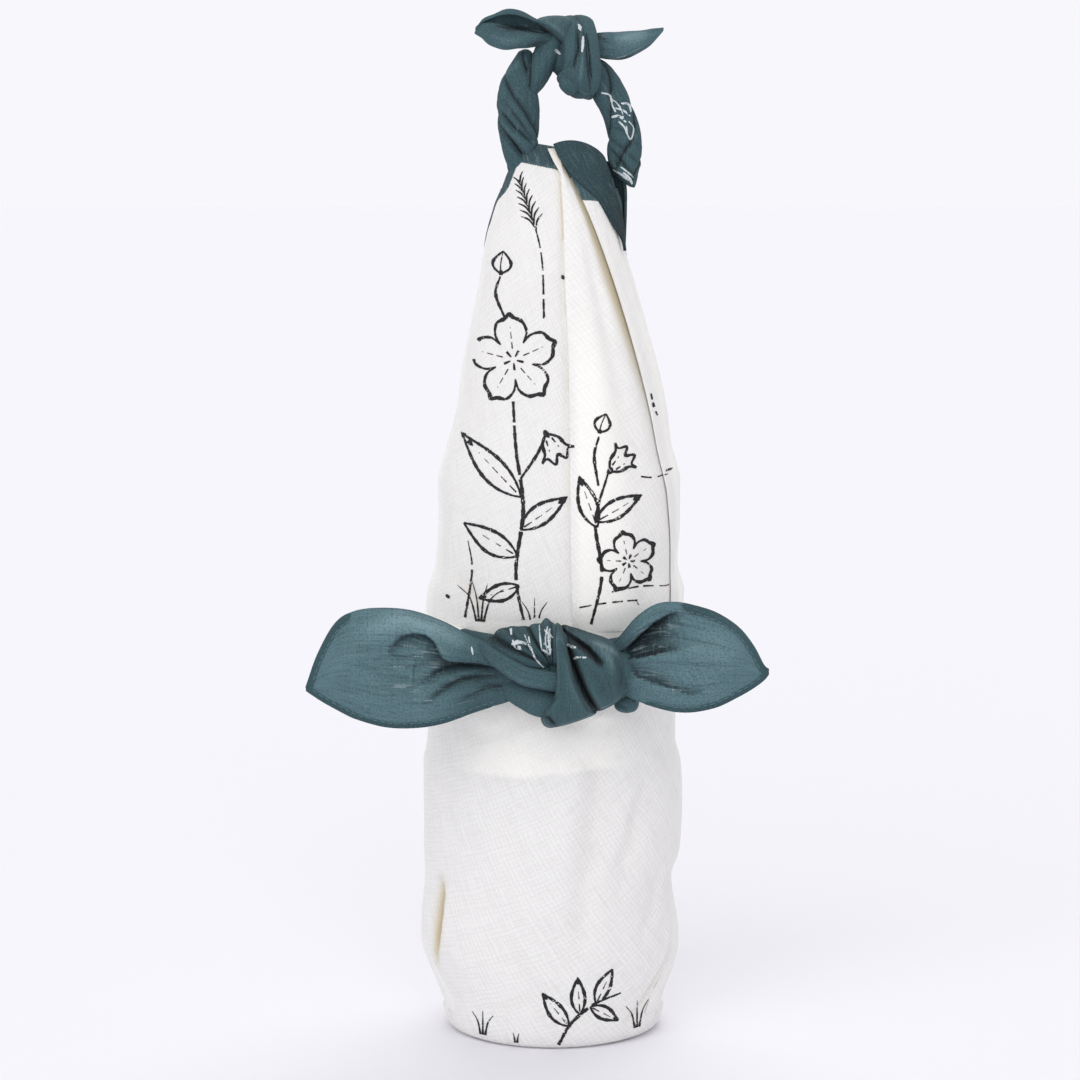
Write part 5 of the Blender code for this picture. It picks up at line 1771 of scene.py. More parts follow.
RING_HANDLE = Knot((
    ("ring_left", Strand(
        (
            (-7, 1.5, 293, 5, 5), (-9.4, 0.6, 300, 5, 5.6), (-10.9, 0, 306.3, 5.6, 6.2),
            (-11.6, -0.5, 312.5, 6.4, 6.6), (-12.1, -1, 320, 7, 6.8), (-12, -1, 327, 6.9, 6.6),
            (-11.4, -0.8, 333, 5.8, 5.6), (-10.2, -0.2, 338.4, 3.8, 4.2), (-8.6, 0.4, 343.4, 2.4, 3),
        ),
        turns=1.15, groove=0.2, pleats=8, phase=0.6, rows=150, columns=96,
        lines=creases(
            (-2, 0.9, 0, 0.2, 2, -20.4, 323.4, -18.7, 322.2, -14.1, 317, -6.2, 311.4),
            (-1.3, 0.8, 0, 0.2, 2, -17.6, 326, -11.3, 318.6, -6, 312.2),
            (-1.7, 0.8, 0, 0.2, 2, -19.4, 317.4, -14.1, 311.6, -9, 306.2),
            (-1, 0.7, 0, 0.5, 2, -17.4, 313.4, -13, 309.2, -9.4, 305),
            (0.7, 1.2, 0, 0.5, 0, -19, 319.8, -13.6, 314.4, -7.6, 309.6),
            (0.9, 1.3, 0, 0.5, 0, -9.4, 341.6, -13.3, 337, -18.4, 332.2),
            (-0.6, 1.6, 0, 0.5, 0, -12.6, 334.6, -15.4, 328, -16.4, 323.6),
            (-0.6, 1.4, 0, 0.5, 0, -8, 333, -8.6, 325, -7.2, 316),
        ),
    )),
    ("ring_left_inner", Strand(
        (
            (-8.8, -1, 328.4, 2.2, 3.6), (-6.9, -2.2, 331.6, 3.4, 4.8), (-4.8, -2.8, 336, 4.2, 5.4),
            (-2.6, -2.8, 341, 4.6, 5.2), (1, -2.2, 346.4, 4.6, 4.6), (5, -1.6, 349, 4, 4),
        ),
        plies=2, turns=0.5, pleats=5, phase=1.9,
    )),
    ("ring_right", Strand(
        (
            (28.2, 0.6, 296.2, 0.5, 1.2), (27, 0.6, 298.6, 2.4, 3.4), (25.4, 0.6, 302.6, 4.9, 5),
            (24.7, 0.6, 308, 5.8, 5.4), (24.6, 0.4, 314, 5.5, 5.2), (22.6, 0, 321.8, 5.3, 5.1),
            (19.4, -0.2, 328.4, 5.5, 5.1), (15.6, -0.4, 333.6, 5.6, 5), (10, -0.8, 338.6, 5, 4.8),
        ),
        turns=-1.0, groove=0.2, pleats=8, phase=2.2, rows=150, columns=96,
        lines=creases(
            (-1.1, 0.8, 0, 0.5, 2, 18.4, 313.4, 23.7, 309.6, 31, 303.8),
            (-1.4, 0.8, 0, 0.2, 2, 18.4, 310, 22.9, 305.6, 30, 298.4),
            (-0.9, 0.8, 0, 0.5, 2, 19.2, 316.6, 24, 315.6, 29, 311.4, 31, 307.6),
            (-0.7, 1.5, 0, 0.5, 0, 16, 336, 18.6, 330, 22.6, 325, 25.4, 318),
            (0.6, 1, 0, 0.5, 0, 18, 307, 22, 302.6, 27.6, 297.4),
        ),
    )),
    ("top_core", Strand(
        (
            (-3, 0.5, 345, 5, 5), (3, 0, 343, 8, 6.6), (9, 0, 341, 9, 7), (15, 0, 343, 6, 5.4),
        ),
        plies=4, groove=0.1,
    )),
    ("top_loop", Strand(
        (
            (6, -4, 330, 5, 3), (8.5, -8.2, 331, 7, 3.2), (9.8, -9.4, 338, 6.6, 3.6),
            (9.4, -8.6, 346, 6.2, 3.8), (8, -4.2, 351.2, 6.4, 3.4), (6.6, 2.5, 350.6, 7.2, 3.8),
            (6.8, 7.2, 343, 7.2, 3.8), (8, 6.2, 335, 6.4, 3.4), (8, 0, 330, 5.6, 3),
        ),
        plies=4, groove=0.12, pleats=9, facing=(8.0, 0.0, 340.0),
    )),
    ("top_end_left", LeafEnd(
        grouped(3, (
            (2, -5, 348.6, -5, -8, 348.4, -11.5, -9.2, 349.6, -18, -8.6, 351.6, -23.4, -6.8, 352.2, -26.5,
             -4.6, 350.3),
            (2, -5.6, 347.2, -5, -9.2, 346.6, -11.5, -10.2, 346.6, -18, -9.4, 347.6, -23.4, -7.2, 349.4,
             -26.6, -4.6, 349.6),
            (2, -4.6, 345.6, -5, -7.4, 344.4, -11.5, -8, 343.6, -18, -7.4, 343.6, -23, -6, 346, -26.6,
             -4.5, 349),
            (2, -2.6, 345.8, -5, -4, 345.2, -11.5, -3.6, 345.2, -18, -3.8, 345.8, -23, -4.4, 347.4, -26.5,
             -4.3, 349.2),
            (2, -1.6, 348, -5, -2.2, 349.4, -11.5, -1.6, 350.8, -18, -2.6, 351.4, -23.2, -3.8, 351, -26.4,
             -4.2, 349.9),
            (2, -3, 350, -5, -3.8, 353.2, -11.5, -3.8, 356.2, -17.5, -4.2, 356.2, -23.2, -4.4, 353.8,
             -26.4, -4.3, 350.5),
            (2, -4.4, 349.4, -5, -5.6, 352.2, -11.5, -6.2, 354.8, -17.5, -6, 354.9, -23.2, -5.4, 353.2,
             -26.4, -4.5, 350.4),
        )),
        gathers=((0.3, 0.4, 0.3), (0.6, -0.4, 0.3)), along=80, across=60, layers=0.75,
        lines=creases(
            (0, 1.7, 0.95, 0.5, 0, -4, 349.4, -10, 350.2, -17, 350.6, -21, 350.4),
            (0, 1.5, 0.6, 0.5, 0, -2, 346.4, -6, 345.2, -10, 344.4),
            (0, 1.8, -0.4, 0.5, 0, -22, 348.6, -16, 346.4, -9, 346.6),
        ),
    )),
    ("top_end_right", LeafEnd(
        grouped(3, (
            (10, -2, 347.4, 15.5, -3, 349, 21, -3.2, 349.2, 27, -3, 349.4, 33, -2.8, 350, 37.9, -2.4,
             350.6),
            (10, -3.4, 346, 15.5, -5.2, 346.8, 21, -5.6, 346.8, 27, -4.8, 347.6, 33, -3.6, 349, 37.9, -2.5,
             350.4),
            (10, -3.2, 344.4, 15.5, -5, 343.6, 21, -5.2, 343.4, 27, -4.4, 345, 33, -3.3, 347.2, 37.8, -2.5,
             350.1),
            (10, -1.6, 342.6, 15.5, -3, 341, 21, -3.2, 340, 27, -2.8, 341.2, 33, -2.4, 344.6, 37.6, -2.3,
             349.6),
            (10, 0.6, 343.6, 15.5, 0.2, 342.4, 21, -0.2, 341.6, 27, -0.6, 342.8, 33, -1.2, 345.8, 37.5, -2,
             349.8),
        )),
        gathers=((0.2, -0.5, 0.4), (0.55, 0.4, 0.3)), along=70, across=48, layers=0.4,
        lines=creases(
            (0, 1.3, 0.7, 0.5, 0, 14, 340.8, 21, 339.8, 28, 341.4, 35, 346.4),
            (0, 1.6, 0.75, 0.5, 0, 12, 350.6, 16, 347.6, 20, 345),
            (0, 2.4, -0.75, 0.5, 0, 20, 346.6, 26, 347, 33, 348.8),
        ),
    )),
    ("top_crown", Dome(
        (
            (-6, 352.6), (-4.6, 354.2), (0, 355), (5, 354.6), (8.6, 352.6), (8.4, 347), (6, 343.2),
            (2.6, 344.6), (-0.4, 347.4), (-3.4, 350),
        ),
        front=-11.4, back=-1.0, rows=34, columns=80,
        lines=creases(
            (0.9, 1.6, -0.35, 0.5, 0, -4.4, 352.8, 0.6, 350.6, 5.4, 346),
            (-0.4, 0.8, 1.3, 0.5, 0, -5, 351.6, -0.8, 348.2, 3, 344.8, 6, 342.6),
            (-0.6, 0.8, 0, 0.5, 0, -2, 350.2, 2, 347.8, 5, 344.4),
        ),
    )),
    ("top_wrap", Dome(
        (
            (7.6, 353.6), (10.4, 353), (13.4, 350), (14.7, 344), (15.2, 338), (14.8, 330.4), (13.2, 326.4),
            (9.4, 327), (5.2, 329.4), (2, 331.8), (1.4, 334.4), (4.6, 338.2), (5.9, 342.4), (6.4, 348),
        ),
        front=-15.2, back=-2.4, fullness=3.0, rows=40, columns=110,
        lines=creases(
            (-2.2, 0.7, 1.5, 0.2, 2, 9.6, 353, 11.4, 345.6, 12.2, 337, 13.4, 327.6),
            (-1.4, 0.8, 1, 0.5, 2, 8.2, 351, 8.6, 343, 6.6, 335.6),
            (0.7, 1, -0.4, 0.5, 0, 10.4, 350, 10.4, 342, 9, 331),
            (-0.9, 0.6, 0.8, 0.5, 2, 12.8, 350, 14, 341, 14.3, 331),
        ),
    )),
))


# ---------------------------------------------------------------- hems and print


@dataclass
class HemStitches:
    """The lockstitch that holds the hems of the bow's ends."""

    stitch: float = 1.9
    pitch: float = 2.5
    inset: float = 1.62
    radius: float = 0.17
    profile: tuple[tuple[float, float, float], ...] = (
        (0.0, 0.3, 0.0), (0.15, 0.9, 0.10), (0.5, 1.0, 0.16), (0.85, 0.9, 0.10), (1.0, 0.3, 0.0))

    def capsule(self, ends: list[np.ndarray], side: np.ndarray, points: list, faces: list) -> None:
        """Add one stitch.

        Args:
            ends: where it enters the cloth.
            side: the way out of the cloth.
            points, faces: the mesh so far, which it adds to.
        """
        along = (ends[1] - ends[0]) / max(1e-6, float(np.linalg.norm(ends[1] - ends[0])))
        across = np.cross(along, side)
        start, rings = len(points), len(self.profile)
        for share, size, rise in self.profile:
            middle = ends[0] + (ends[1] - ends[0]) * share + side * rise
            for turn in np.arange(6) * math.pi / 3.0:
                points.append(middle + size * self.radius * (across * math.cos(turn) + side * math.sin(turn)))
        for r in range(rings - 1):
            for a in range(6):
                n = (a + 1) % 6
                here, there = start + r * 6, start + (r + 1) * 6
                faces.append((here + a, here + n, there + n, there + a))
        last = start + 6 * (rings - 1)
        faces += [tuple(start + a for a in reversed(range(6))), tuple(last + a for a in range(6))]

    def sew(self, tailor: Tailor, end: WaistEnd, projector: Projector) -> bpy.types.Object:
        """Sew one end's hems, on both faces.

        Args:
            end: the end to sew.
            projector: finds its cloth.

        Returns:
            The stitches, as one piece.
        """
        points, faces = [], []
        for top in (False, True):
            edge = end.edge(top)
            ahead = np.gradient(edge, axis=0)
            ahead /= np.linalg.norm(ahead, axis=1, keepdims=True)
            middle = np.array([np.mean([row[0] for row in end.stations]), 138.0])
            inward = np.stack([-ahead[:, 1], ahead[:, 0]], axis=1)
            inward *= np.sign(((middle - edge) * inward).sum(axis=1, keepdims=True))
            line = edge + inward * self.inset
            run = np.concatenate([[0.0], np.cumsum(np.linalg.norm(np.diff(line, axis=0), axis=1))])
            for start in np.arange(2.0, run[-1] - 3.0, self.pitch):
                for from_back in (False, True):
                    hits = [projector.drop(*(float(np.interp(start + step, run, line[:, k]))
                                             for k in range(2)), from_back)
                            for step in (0.0, self.stitch)]
                    if None in hits:
                        continue
                    ends = [np.array(hit[0]) / MM for hit in hits]
                    if np.linalg.norm(ends[1] - ends[0]) < 1.5 * self.stitch:
                        self.capsule(ends, np.array(hits[0][1]), points, faces)
        name = f"{end.name}_stitches"
        mesh = bpy.data.meshes.new(name)
        mesh.from_pydata((np.array(points) * MM).tolist(), [], faces)
        mesh.polygons.foreach_set("use_smooth", [True] * len(mesh.polygons))
        mesh.materials.append(tailor.finishes.thread)
        item = bpy.data.objects.new(name, mesh)
        bpy.context.scene.collection.objects.link(item)
        return tailor.trim(item)


OFF_WHITE = ("body_cloth", "front_pleat", "side_panel")


class Ink(Enum):
    """Which ink a stroke is printed in."""

    BLACK = "black"
    WHITE = "white"


@dataclass
class Stroke:
    """A brush stroke by x and height, seen from the front, with its widths."""

    points: list[tuple[float, float]]
    widths: tuple[float, ...] = (0.35, 0.9, 0.5)
    ink: Ink = Ink.BLACK
    dashes: tuple[float, float] | None = None


class Projector:
    """Lays strokes on the pieces in front."""

    def __init__(self, pieces: list[bpy.types.Object]) -> None:
        """Read the pieces as they are shown."""
        graph = bpy.context.evaluated_depsgraph_get()
        self.trees, self.meshes = [], []
        self.names = [piece.name for piece in pieces]
        for piece in pieces:
            mesh = piece.evaluated_get(graph).to_mesh()
            mesh.calc_loop_triangles()
            verts = [v.co.copy() for v in mesh.vertices]
            triangles = [tuple(t.vertices) for t in mesh.loop_triangles]
            uv = mesh.uv_layers["flat"].data
            flats = [tuple(uv[k].uv.copy() for k in t.loops) for t in mesh.loop_triangles]
            self.trees.append(BVHTree.FromPolygons(verts, triangles))
            self.meshes.append((verts, triangles, flats))
            piece.evaluated_get(graph).to_mesh_clear()

    def drop(self, x: float, z: float, from_back: bool = False) -> tuple[Vector, Vector, tuple, str] | None:
        """The nearest cloth before or behind at x and height, with its normal, flat place and name."""
        way = Vector((0.0, -1.0 if from_back else 1.0, 0.0))
        start = Vector((x * MM, 0.3 if from_back else -0.3, z * MM))
        best = None
        for name, tree, (verts, triangles, flats) in zip(self.names, self.trees, self.meshes):
            place, normal, index, far = tree.ray_cast(start, way)
            if place is None or (best is not None and far >= best[0]):
                continue
            corners = [verts[k] for k in triangles[index]]
            weights = barycentric(place, corners)
            flat = sum((Vector(f) * w for f, w in zip(flats[index], weights)), Vector((0.0, 0.0)))
            if normal.dot(way) > 0.0:
                normal = -normal
            best = (far, place, normal, (flat[0], flat[1]), name)
        return None if best is None else best[1:]


def barycentric(place: Vector, corners: list[Vector]) -> tuple[float, float, float]:
    """A point's weights in a triangle."""
    a, b, c = corners
    ab, ac, ap = b - a, c - a, place - a
    d00, d01, d11, d20, d21 = ab.dot(ab), ab.dot(ac), ac.dot(ac), ap.dot(ab), ap.dot(ac)
    whole = d00 * d11 - d01 * d01
    if abs(whole) < 1e-24:
        return 1.0, 0.0, 0.0
    v, w = (d11 * d20 - d01 * d21) / whole, (d00 * d21 - d01 * d20) / whole
    return 1.0 - v - w, v, w


@dataclass
class PrintedSprigs:
    """A loose all-over print of meadow plants in brush lines: bellflowers, grasses, leaves and seed heads."""

    step: float = 0.5
    clear: float = 0.12

    def leaf(self, root: tuple[float, float], tip: tuple[float, float], belly: float,
             dark: bool = True) -> list[Stroke]:
        """A leaf's two sides, its rib and a brushed tip."""
        (x0, z0), (x1, z1) = root, tip
        dx, dz = x1 - x0, z1 - z0
        long = math.hypot(dx, dz)
        nx, nz = -dz / long, dx / long
        strokes = []
        for side in (1.0, -0.8):
            arc = [(x0 + dx * t + nx * side * belly * math.sin(math.pi * t**0.85),
                    z0 + dz * t + nz * side * belly * math.sin(math.pi * t**0.85))
                    for t in np.linspace(0.0, 1.0, 14)]
            strokes.append(Stroke(arc, (0.6, 1.25, 0.8)))
        strokes.append(Stroke([(x0 + dx * t, z0 + dz * t) for t in np.linspace(0.08, 0.72, 6)],
                              (0.5, 0.35, 0.2),
                              dashes=(3.2, 1.1)))
        if dark:
            strokes.append(Stroke([(x0 + dx * t, z0 + dz * t) for t in np.linspace(0.82, 1.03, 5)],
                                  (0.3, belly * 0.75, 0.2)))
        return strokes

    def bellflower(self, x: float, z: float, size: float, turn: float, petals: int = 5) -> list[Stroke]:
        """An open bellflower: pointed petals, their ribs and a ring of stamens."""
        strokes = []
        for k in range(petals):
            a = math.radians(turn + 360.0 * k / petals)
            half = math.pi / petals
            rim = ((-1.0, 0.48), (-0.86, 0.74), (-0.52, 0.93), (-0.16, 1.0), (0.0, 1.08), (0.2, 0.99),
                   (0.56, 0.94),
                   (0.88, 0.72), (1.0, 0.46))
            strokes.append(Stroke([(x + r * size * math.cos(a + b * half),
                                    z + r * size * math.sin(a + b * half))
                                   for b, r in rim], (0.5, 1.1, 1.5, 0.9, 0.6)))
            strokes.append(Stroke([(x + r * size * math.cos(a), z + r * size * math.sin(a))
                                   for r in (0.26, 0.5, 0.78)],
                                  (0.4, 0.3, 0.15), dashes=(2.4, 0.9)))
            strokes.append(Stroke([(x + r * size * math.cos(a + half), z + r * size * math.sin(a + half))
                                   for r in (0.08, 0.17, 0.25)], (0.4, 0.75, 0.9)))
        return strokes

    def seed_head(self, root: tuple[float, float], tip: tuple[float, float], sway: float,
                  hairs: int) -> list[Stroke]:
        """A feathery grass head on its stem."""
        (x0, z0), (x1, z1) = root, tip
        middle = ((x0 + x1) / 2.0 + sway, (z0 + z1) / 2.0)
        stem = spline(np.array([root, middle, tip]), np.linspace(0.0, 2.0, 30))
        strokes = [Stroke([tuple(p) for p in stem], (0.75, 0.55, 0.35), dashes=(7.0, 0.9))]
        for k in range(hairs):
            t = 1.25 + 0.75 * k / hairs
            at, ahead = spline(np.array([root, middle, tip]), np.array([t, min(2.0, t + 0.05)]))
            way = math.atan2(ahead[1] - at[1], ahead[0] - at[0]) if k < hairs - 1 else math.atan2(z1 - z0,
                                                                                                  x1 - x0)
            side = 1.0 if k % 2 else -1.0
            spread, long = side * (0.62 - 0.25 * k / hairs), 6.4 - 2.6 * k / hairs
            strokes.append(Stroke([tuple(at), (at[0] + 0.55 * long * math.cos(way + spread * 0.6),
                                               at[1] + 0.55 * long * math.sin(way + spread * 0.6)),
                                   (at[0] + long * math.cos(way + spread),
                                    at[1] + long * math.sin(way + spread))],
                                  (0.3, 0.75, 0.25)))
        return strokes

    def ground(self, x0: float, x1: float, z: float, rise: float) -> list[Stroke]:
        """A broken ground line."""
        return [Stroke([(x, z + rise * math.sin(math.pi * (x - x0) / (x1 - x0)))
                        for x in np.linspace(x0, x1, 14)],
                       (0.5, 0.6, 0.3), dashes=(4.2, 1.2))]

    def tuft(self, x: float, z: float, blades: int, tall: float) -> list[Stroke]:
        """A tuft of grass."""
        strokes = []
        for k in range(blades):
            lean = (k - (blades - 1) / 2.0) * 0.32
            strokes.append(Stroke([(x + k * 0.8, z), (x + k * 0.8 + lean * tall * 0.35, z + tall * 0.55),
                                   (x + k * 0.8 + lean * tall, z + tall * (1.0 - 0.12 * abs(lean) * 3.0))],
                                  (0.8, 0.55, 0.2)))
        return strokes

    def side_bell(self, x: float, z: float, size: float, turn: float) -> list[Stroke]:
        """A bellflower seen from the side: a cup of pointed lobes on a dark calyx.

        Args:
            x, z: where the stem meets it.
            size: its length.
            turn: which way it opens, in degrees from the right.

        Returns:
            Its strokes.
        """
        a = math.radians(turn)

        def put(along: float, aside: float) -> tuple[float, float]:
            along, aside = along * size, aside * size
            return (x + along * math.cos(a) - aside * math.sin(a),
                    z + along * math.sin(a) + aside * math.cos(a))

        sides = [[put(*at) for at in ((0.12, 0.08 * k), (0.34, 0.30 * k), (0.66, 0.40 * k), (0.84, 0.62 * k))]
                 for k in (1.0, -0.9)]
        lobes = [(0.84, 0.62), (0.80, 0.40), (1.06, 0.22), (0.82, 0.03), (1.08, -0.18), (0.80, -0.34),
                 (0.86, -0.56)]
        strokes = [Stroke(side, (0.7, 1.2, 0.7)) for side in sides]
        strokes.append(Stroke([put(*at) for at in lobes], (0.6, 1.1, 0.7)))
        strokes += [Stroke([put(0.26, 0.10 * k), put(0.62, 0.17 * k)], (0.6, 0.3), dashes=(2.0, 0.8))
                    for k in (-1.0, 1.0)]
        strokes.append(Stroke([put(-0.06, 0.0), put(0.10, 0.0), put(0.22, 0.04)], (0.8, 2.2, 0.6)))
        return strokes

    def bud(self, x: float, z: float, size: float, turn: float) -> list[Stroke]:
        """A closed bud on a dark calyx."""
        a = math.radians(turn)
        strokes = []
        for side in (1.0, -1.0, 0.12):
            strokes.append(Stroke([
                (x + size * t * math.cos(a) - side * 0.42 * size * math.sin(math.pi * t**0.8) * math.sin(a),
                 z + size * t * math.sin(a) + side * 0.42 * size * math.sin(math.pi * t**0.8) * math.cos(a))
                for t in np.linspace(0.04, 1.0, 12)], (0.6, 1.1, 0.5) if abs(side) == 1.0 else (0.5, 0.3)))
        strokes.append(Stroke([(x - 0.08 * size * math.cos(a), z - 0.08 * size * math.sin(a)),
                               (x + 0.14 * size * math.cos(a), z + 0.14 * size * math.sin(a))],
                               (1.0, 1.8, 0.8)))
        return strokes

    def stem(self, points: list[tuple[float, float]],
             widths: tuple[float, ...] = (0.7, 1.15, 0.6)) -> list[Stroke]:
        """A stem that the brush leaves now and then."""
        return [Stroke(points, widths, dashes=(17.0, 0.9))]

    def off_white(self) -> list[Stroke]:
        """The black print on the off-white front."""
        strokes = self.stem([(-9.0, 146.0), (-12.5, 166.0), (-10.0, 188.0), (-12.5, 208.0),
                             (-13.5, 224.0)], (0.9, 1.4, 0.9))
        strokes += self.bellflower(-13.4, 238.0, 14.2, 96.0)
        strokes += self.stem([(-11.0, 198.0), (-5.0, 207.0), (-2.4, 214.0)])
        strokes += self.side_bell(-2.6, 214.0, 10.5, -62.0)
        strokes += self.stem([(-16.4, 252.0), (-19.6, 260.0), (-18.0, 266.0)])
        strokes += self.bud(-17.8, 267.0, 7.6, 84.0)
        strokes += self.leaf((-10.8, 192.0), (-31.0, 212.0), 4.6) + self.leaf((-11.0, 181.0), (4.6, 192.0),
                                                                              3.6)
        strokes += self.leaf((-12.0, 172.0), (-30.4, 182.0), 4.2, False) + self.leaf((-11.4, 162.0),
                                                                                     (-25.0, 157.0), 3.0)
        strokes += self.seed_head((-3.0, 252.0), (-11.6, 299.0), 3.0, 15)
        strokes += self.stem([(-30.0, 150.0), (-27.6, 166.0), (-29.0, 176.0)], (0.9, 0.8, 0.3))
        strokes += self.tuft(-26.0, 149.0, 4, 14.0) + self.tuft(-7.0, 147.0, 3, 11.0)
        strokes += self.stem([(13.0, 149.0), (16.6, 166.0), (14.4, 184.0), (18.6, 200.0)], (0.9, 1.3, 0.7))
        strokes += self.side_bell(18.8, 200.4, 9.6, 40.0)
        strokes += self.leaf((15.0, 182.0), (9.0, 199.0), 3.4) + self.leaf((14.6, 184.0), (30.0, 192.0), 3.4)
        strokes += self.bellflower(25.6, 170.0, 9.4, 30.0)
        strokes += self.bud(15.8, 214.0, 6.4, 70.0) + self.stem([(15.4, 196.0), (14.0, 206.0), (15.8, 213.0)])
        strokes += self.ground(9.0, 38.5, 155.0, 1.6) + self.ground(20.0, 40.6, 160.0, 1.0)
        strokes += self.ground(30.0, 40.0, 198.4, -0.6) + self.tuft(31.0, 149.0, 3, 8.0)
        strokes += [Stroke([(33.6, 226.0), (34.8, 221.0), (36.4, 217.4)], (0.5, 0.9, 0.4), dashes=(2.2, 0.8)),
                    Stroke([(38.6, 199.4), (40.4, 199.7), (42.0, 199.9)], (0.5, 0.8, 0.4)),
                    Stroke([(44.6, 119.4), (45.0, 117.8)], (0.7, 1.2, 0.5)),
                    Stroke([(3.0, 266.6), (3.8, 265.2)], (0.6, 1.3, 0.5)),
                    Stroke([(-36.8, 156.8), (-35.4, 156.0)], (0.8, 1.2, 0.7))]
        strokes += self.stem([(2.0, 2.0), (6.4, 10.0), (14.6, 16.4), (23.6, 19.2)], (1.1, 1.2, 0.6))
        strokes += self.leaf((5.6, 9.0), (-3.4, 20.6), 2.8) + self.leaf((9.4, 13.0), (8.6, 26.0), 2.6)
        strokes += self.leaf((15.0, 16.4), (20.6, 28.2), 2.6, False) + self.leaf((13.0, 15.4), (22.6, 9.4),
                                                                                 2.4)
        strokes += self.tuft(-25.0, 3.4, 3, 9.0) + self.tuft(28.6, 5.0, 3, 10.0) + self.tuft(-13.0, 2.2, 2,
                                                                                             4.0)
        return strokes

    def on_teal(self) -> list[Stroke]:
        """The white print on the teal folds."""
        strokes = [
            Stroke([(25.2, 317.3), (25.7, 314.1), (26.9, 312.9), (27.7, 316.5), (26.0, 318.9)],
                   (0.5, 0.9, 0.4)),
            Stroke([(16.6, 328.6), (19.6, 327.6), (20.4, 324.4), (21.6, 322.0)], (0.5, 0.9, 0.5)),
            Stroke([(23.4, 325.0), (26.0, 324.6), (26.8, 322.0)], (0.5, 1.1, 0.5)),
            Stroke([(20.2, 320.3), (22.8, 320.6), (25.2, 318.4)], (0.7, 1.2, 0.6)),
            Stroke([(20.8, 302.4), (23.7, 300.6), (26.9, 298.2)], (0.5, 1.0, 0.5)),
            Stroke([(23.2, 303.4), (26.4, 300.9), (28.0, 299.4)], (0.3, 0.8, 0.3)),
            Stroke([(8.6, 351.6), (9.7, 349.0)], (0.5, 1.4, 0.5)),
            Stroke([(10.2, 347.4), (10.1, 344.6), (9.9, 342.0)], (0.5, 1.1, 0.5)),
            Stroke([(0.6, 343.2), (2.5, 341.6)], (0.7, 1.4, 0.7)),
            Stroke([(-16.0, 150.5), (-14.2, 149.8), (-13.8, 147.8)], (0.6, 1.3, 0.7)),
            Stroke([(-13.7, 145.0), (-11.3, 145.8), (-8.8, 145.2)], (0.8, 1.8, 0.9)),
            Stroke([(-11.6, 144.6), (-10.6, 143.5)], (0.6, 1.2, 0.5)),
            Stroke([(-8.1, 147.5), (-7.2, 144.0), (-5.6, 140.2), (-2.6, 136.9)], (0.4, 0.8, 0.4)),
            Stroke([(-5.2, 151.4), (-3.7, 150.6)], (0.9, 1.6, 0.8)),
            Stroke([(-0.6, 151.6), (-1.3, 148.5), (-0.8, 142.1)], (0.5, 1.0, 0.5)),
            Stroke([(-2.7, 149.8), (0.1, 147.2)], (0.4, 0.9, 0.4)),
            Stroke([(-3.1, 145.5), (-0.2, 143.4)], (0.4, 0.9, 0.4)),
            Stroke([(-3.4, 143.7), (-0.8, 141.8)], (0.4, 0.8, 0.4)),
            Stroke([(4.6, 144.6), (7.7, 144.4)], (0.7, 1.3, 0.6)),
            Stroke([(7.0, 140.2), (8.3, 141.5), (11.1, 141.5)], (0.5, 0.9, 0.4)),
            Stroke([(-20.1, 137.2), (-18.5, 136.2)], (0.8, 1.3, 0.7)),
            Stroke([(-27.2, 144.2), (-26.6, 141.6)], (0.4, 0.8, 0.4)),
            Stroke([(-13.4, 146.4), (-12.4, 144.0), (-10.4, 143.4)], (0.5, 0.9, 0.4)),
            Stroke([(-15.4, 148.6), (-14.6, 150.8)], (0.5, 0.9, 0.4)),
            Stroke([(-4.6, 151.2), (-4.2, 147.0), (-3.4, 142.6)], (0.3, 0.6, 0.3)),
            Stroke([(-1.8, 150.8), (-2.4, 146.0), (-1.6, 141.6)], (0.3, 0.7, 0.3)),
            Stroke([(-9.4, 148.0), (-8.0, 145.0), (-6.2, 141.6)], (0.3, 0.6, 0.3)),
            Stroke([(19.4, 326.6), (21.6, 325.4), (23.6, 322.6), (24.2, 319.2)], (0.3, 0.7, 0.3)),
            Stroke([(21.4, 323.4), (24.4, 322.4), (26.6, 320.6)], (0.4, 0.9, 0.4)),
            Stroke([(22.4, 319.0), (24.6, 316.8), (25.4, 314.6)], (0.4, 0.8, 0.4)),
            Stroke([(24.2, 301.4), (26.4, 299.4), (27.4, 297.4)], (0.5, 1.0, 0.5)),
        ]
        for stroke in strokes:
            stroke.ink = Ink.WHITE
            stroke.widths = tuple(0.85 * width for width in stroke.widths)
        return strokes

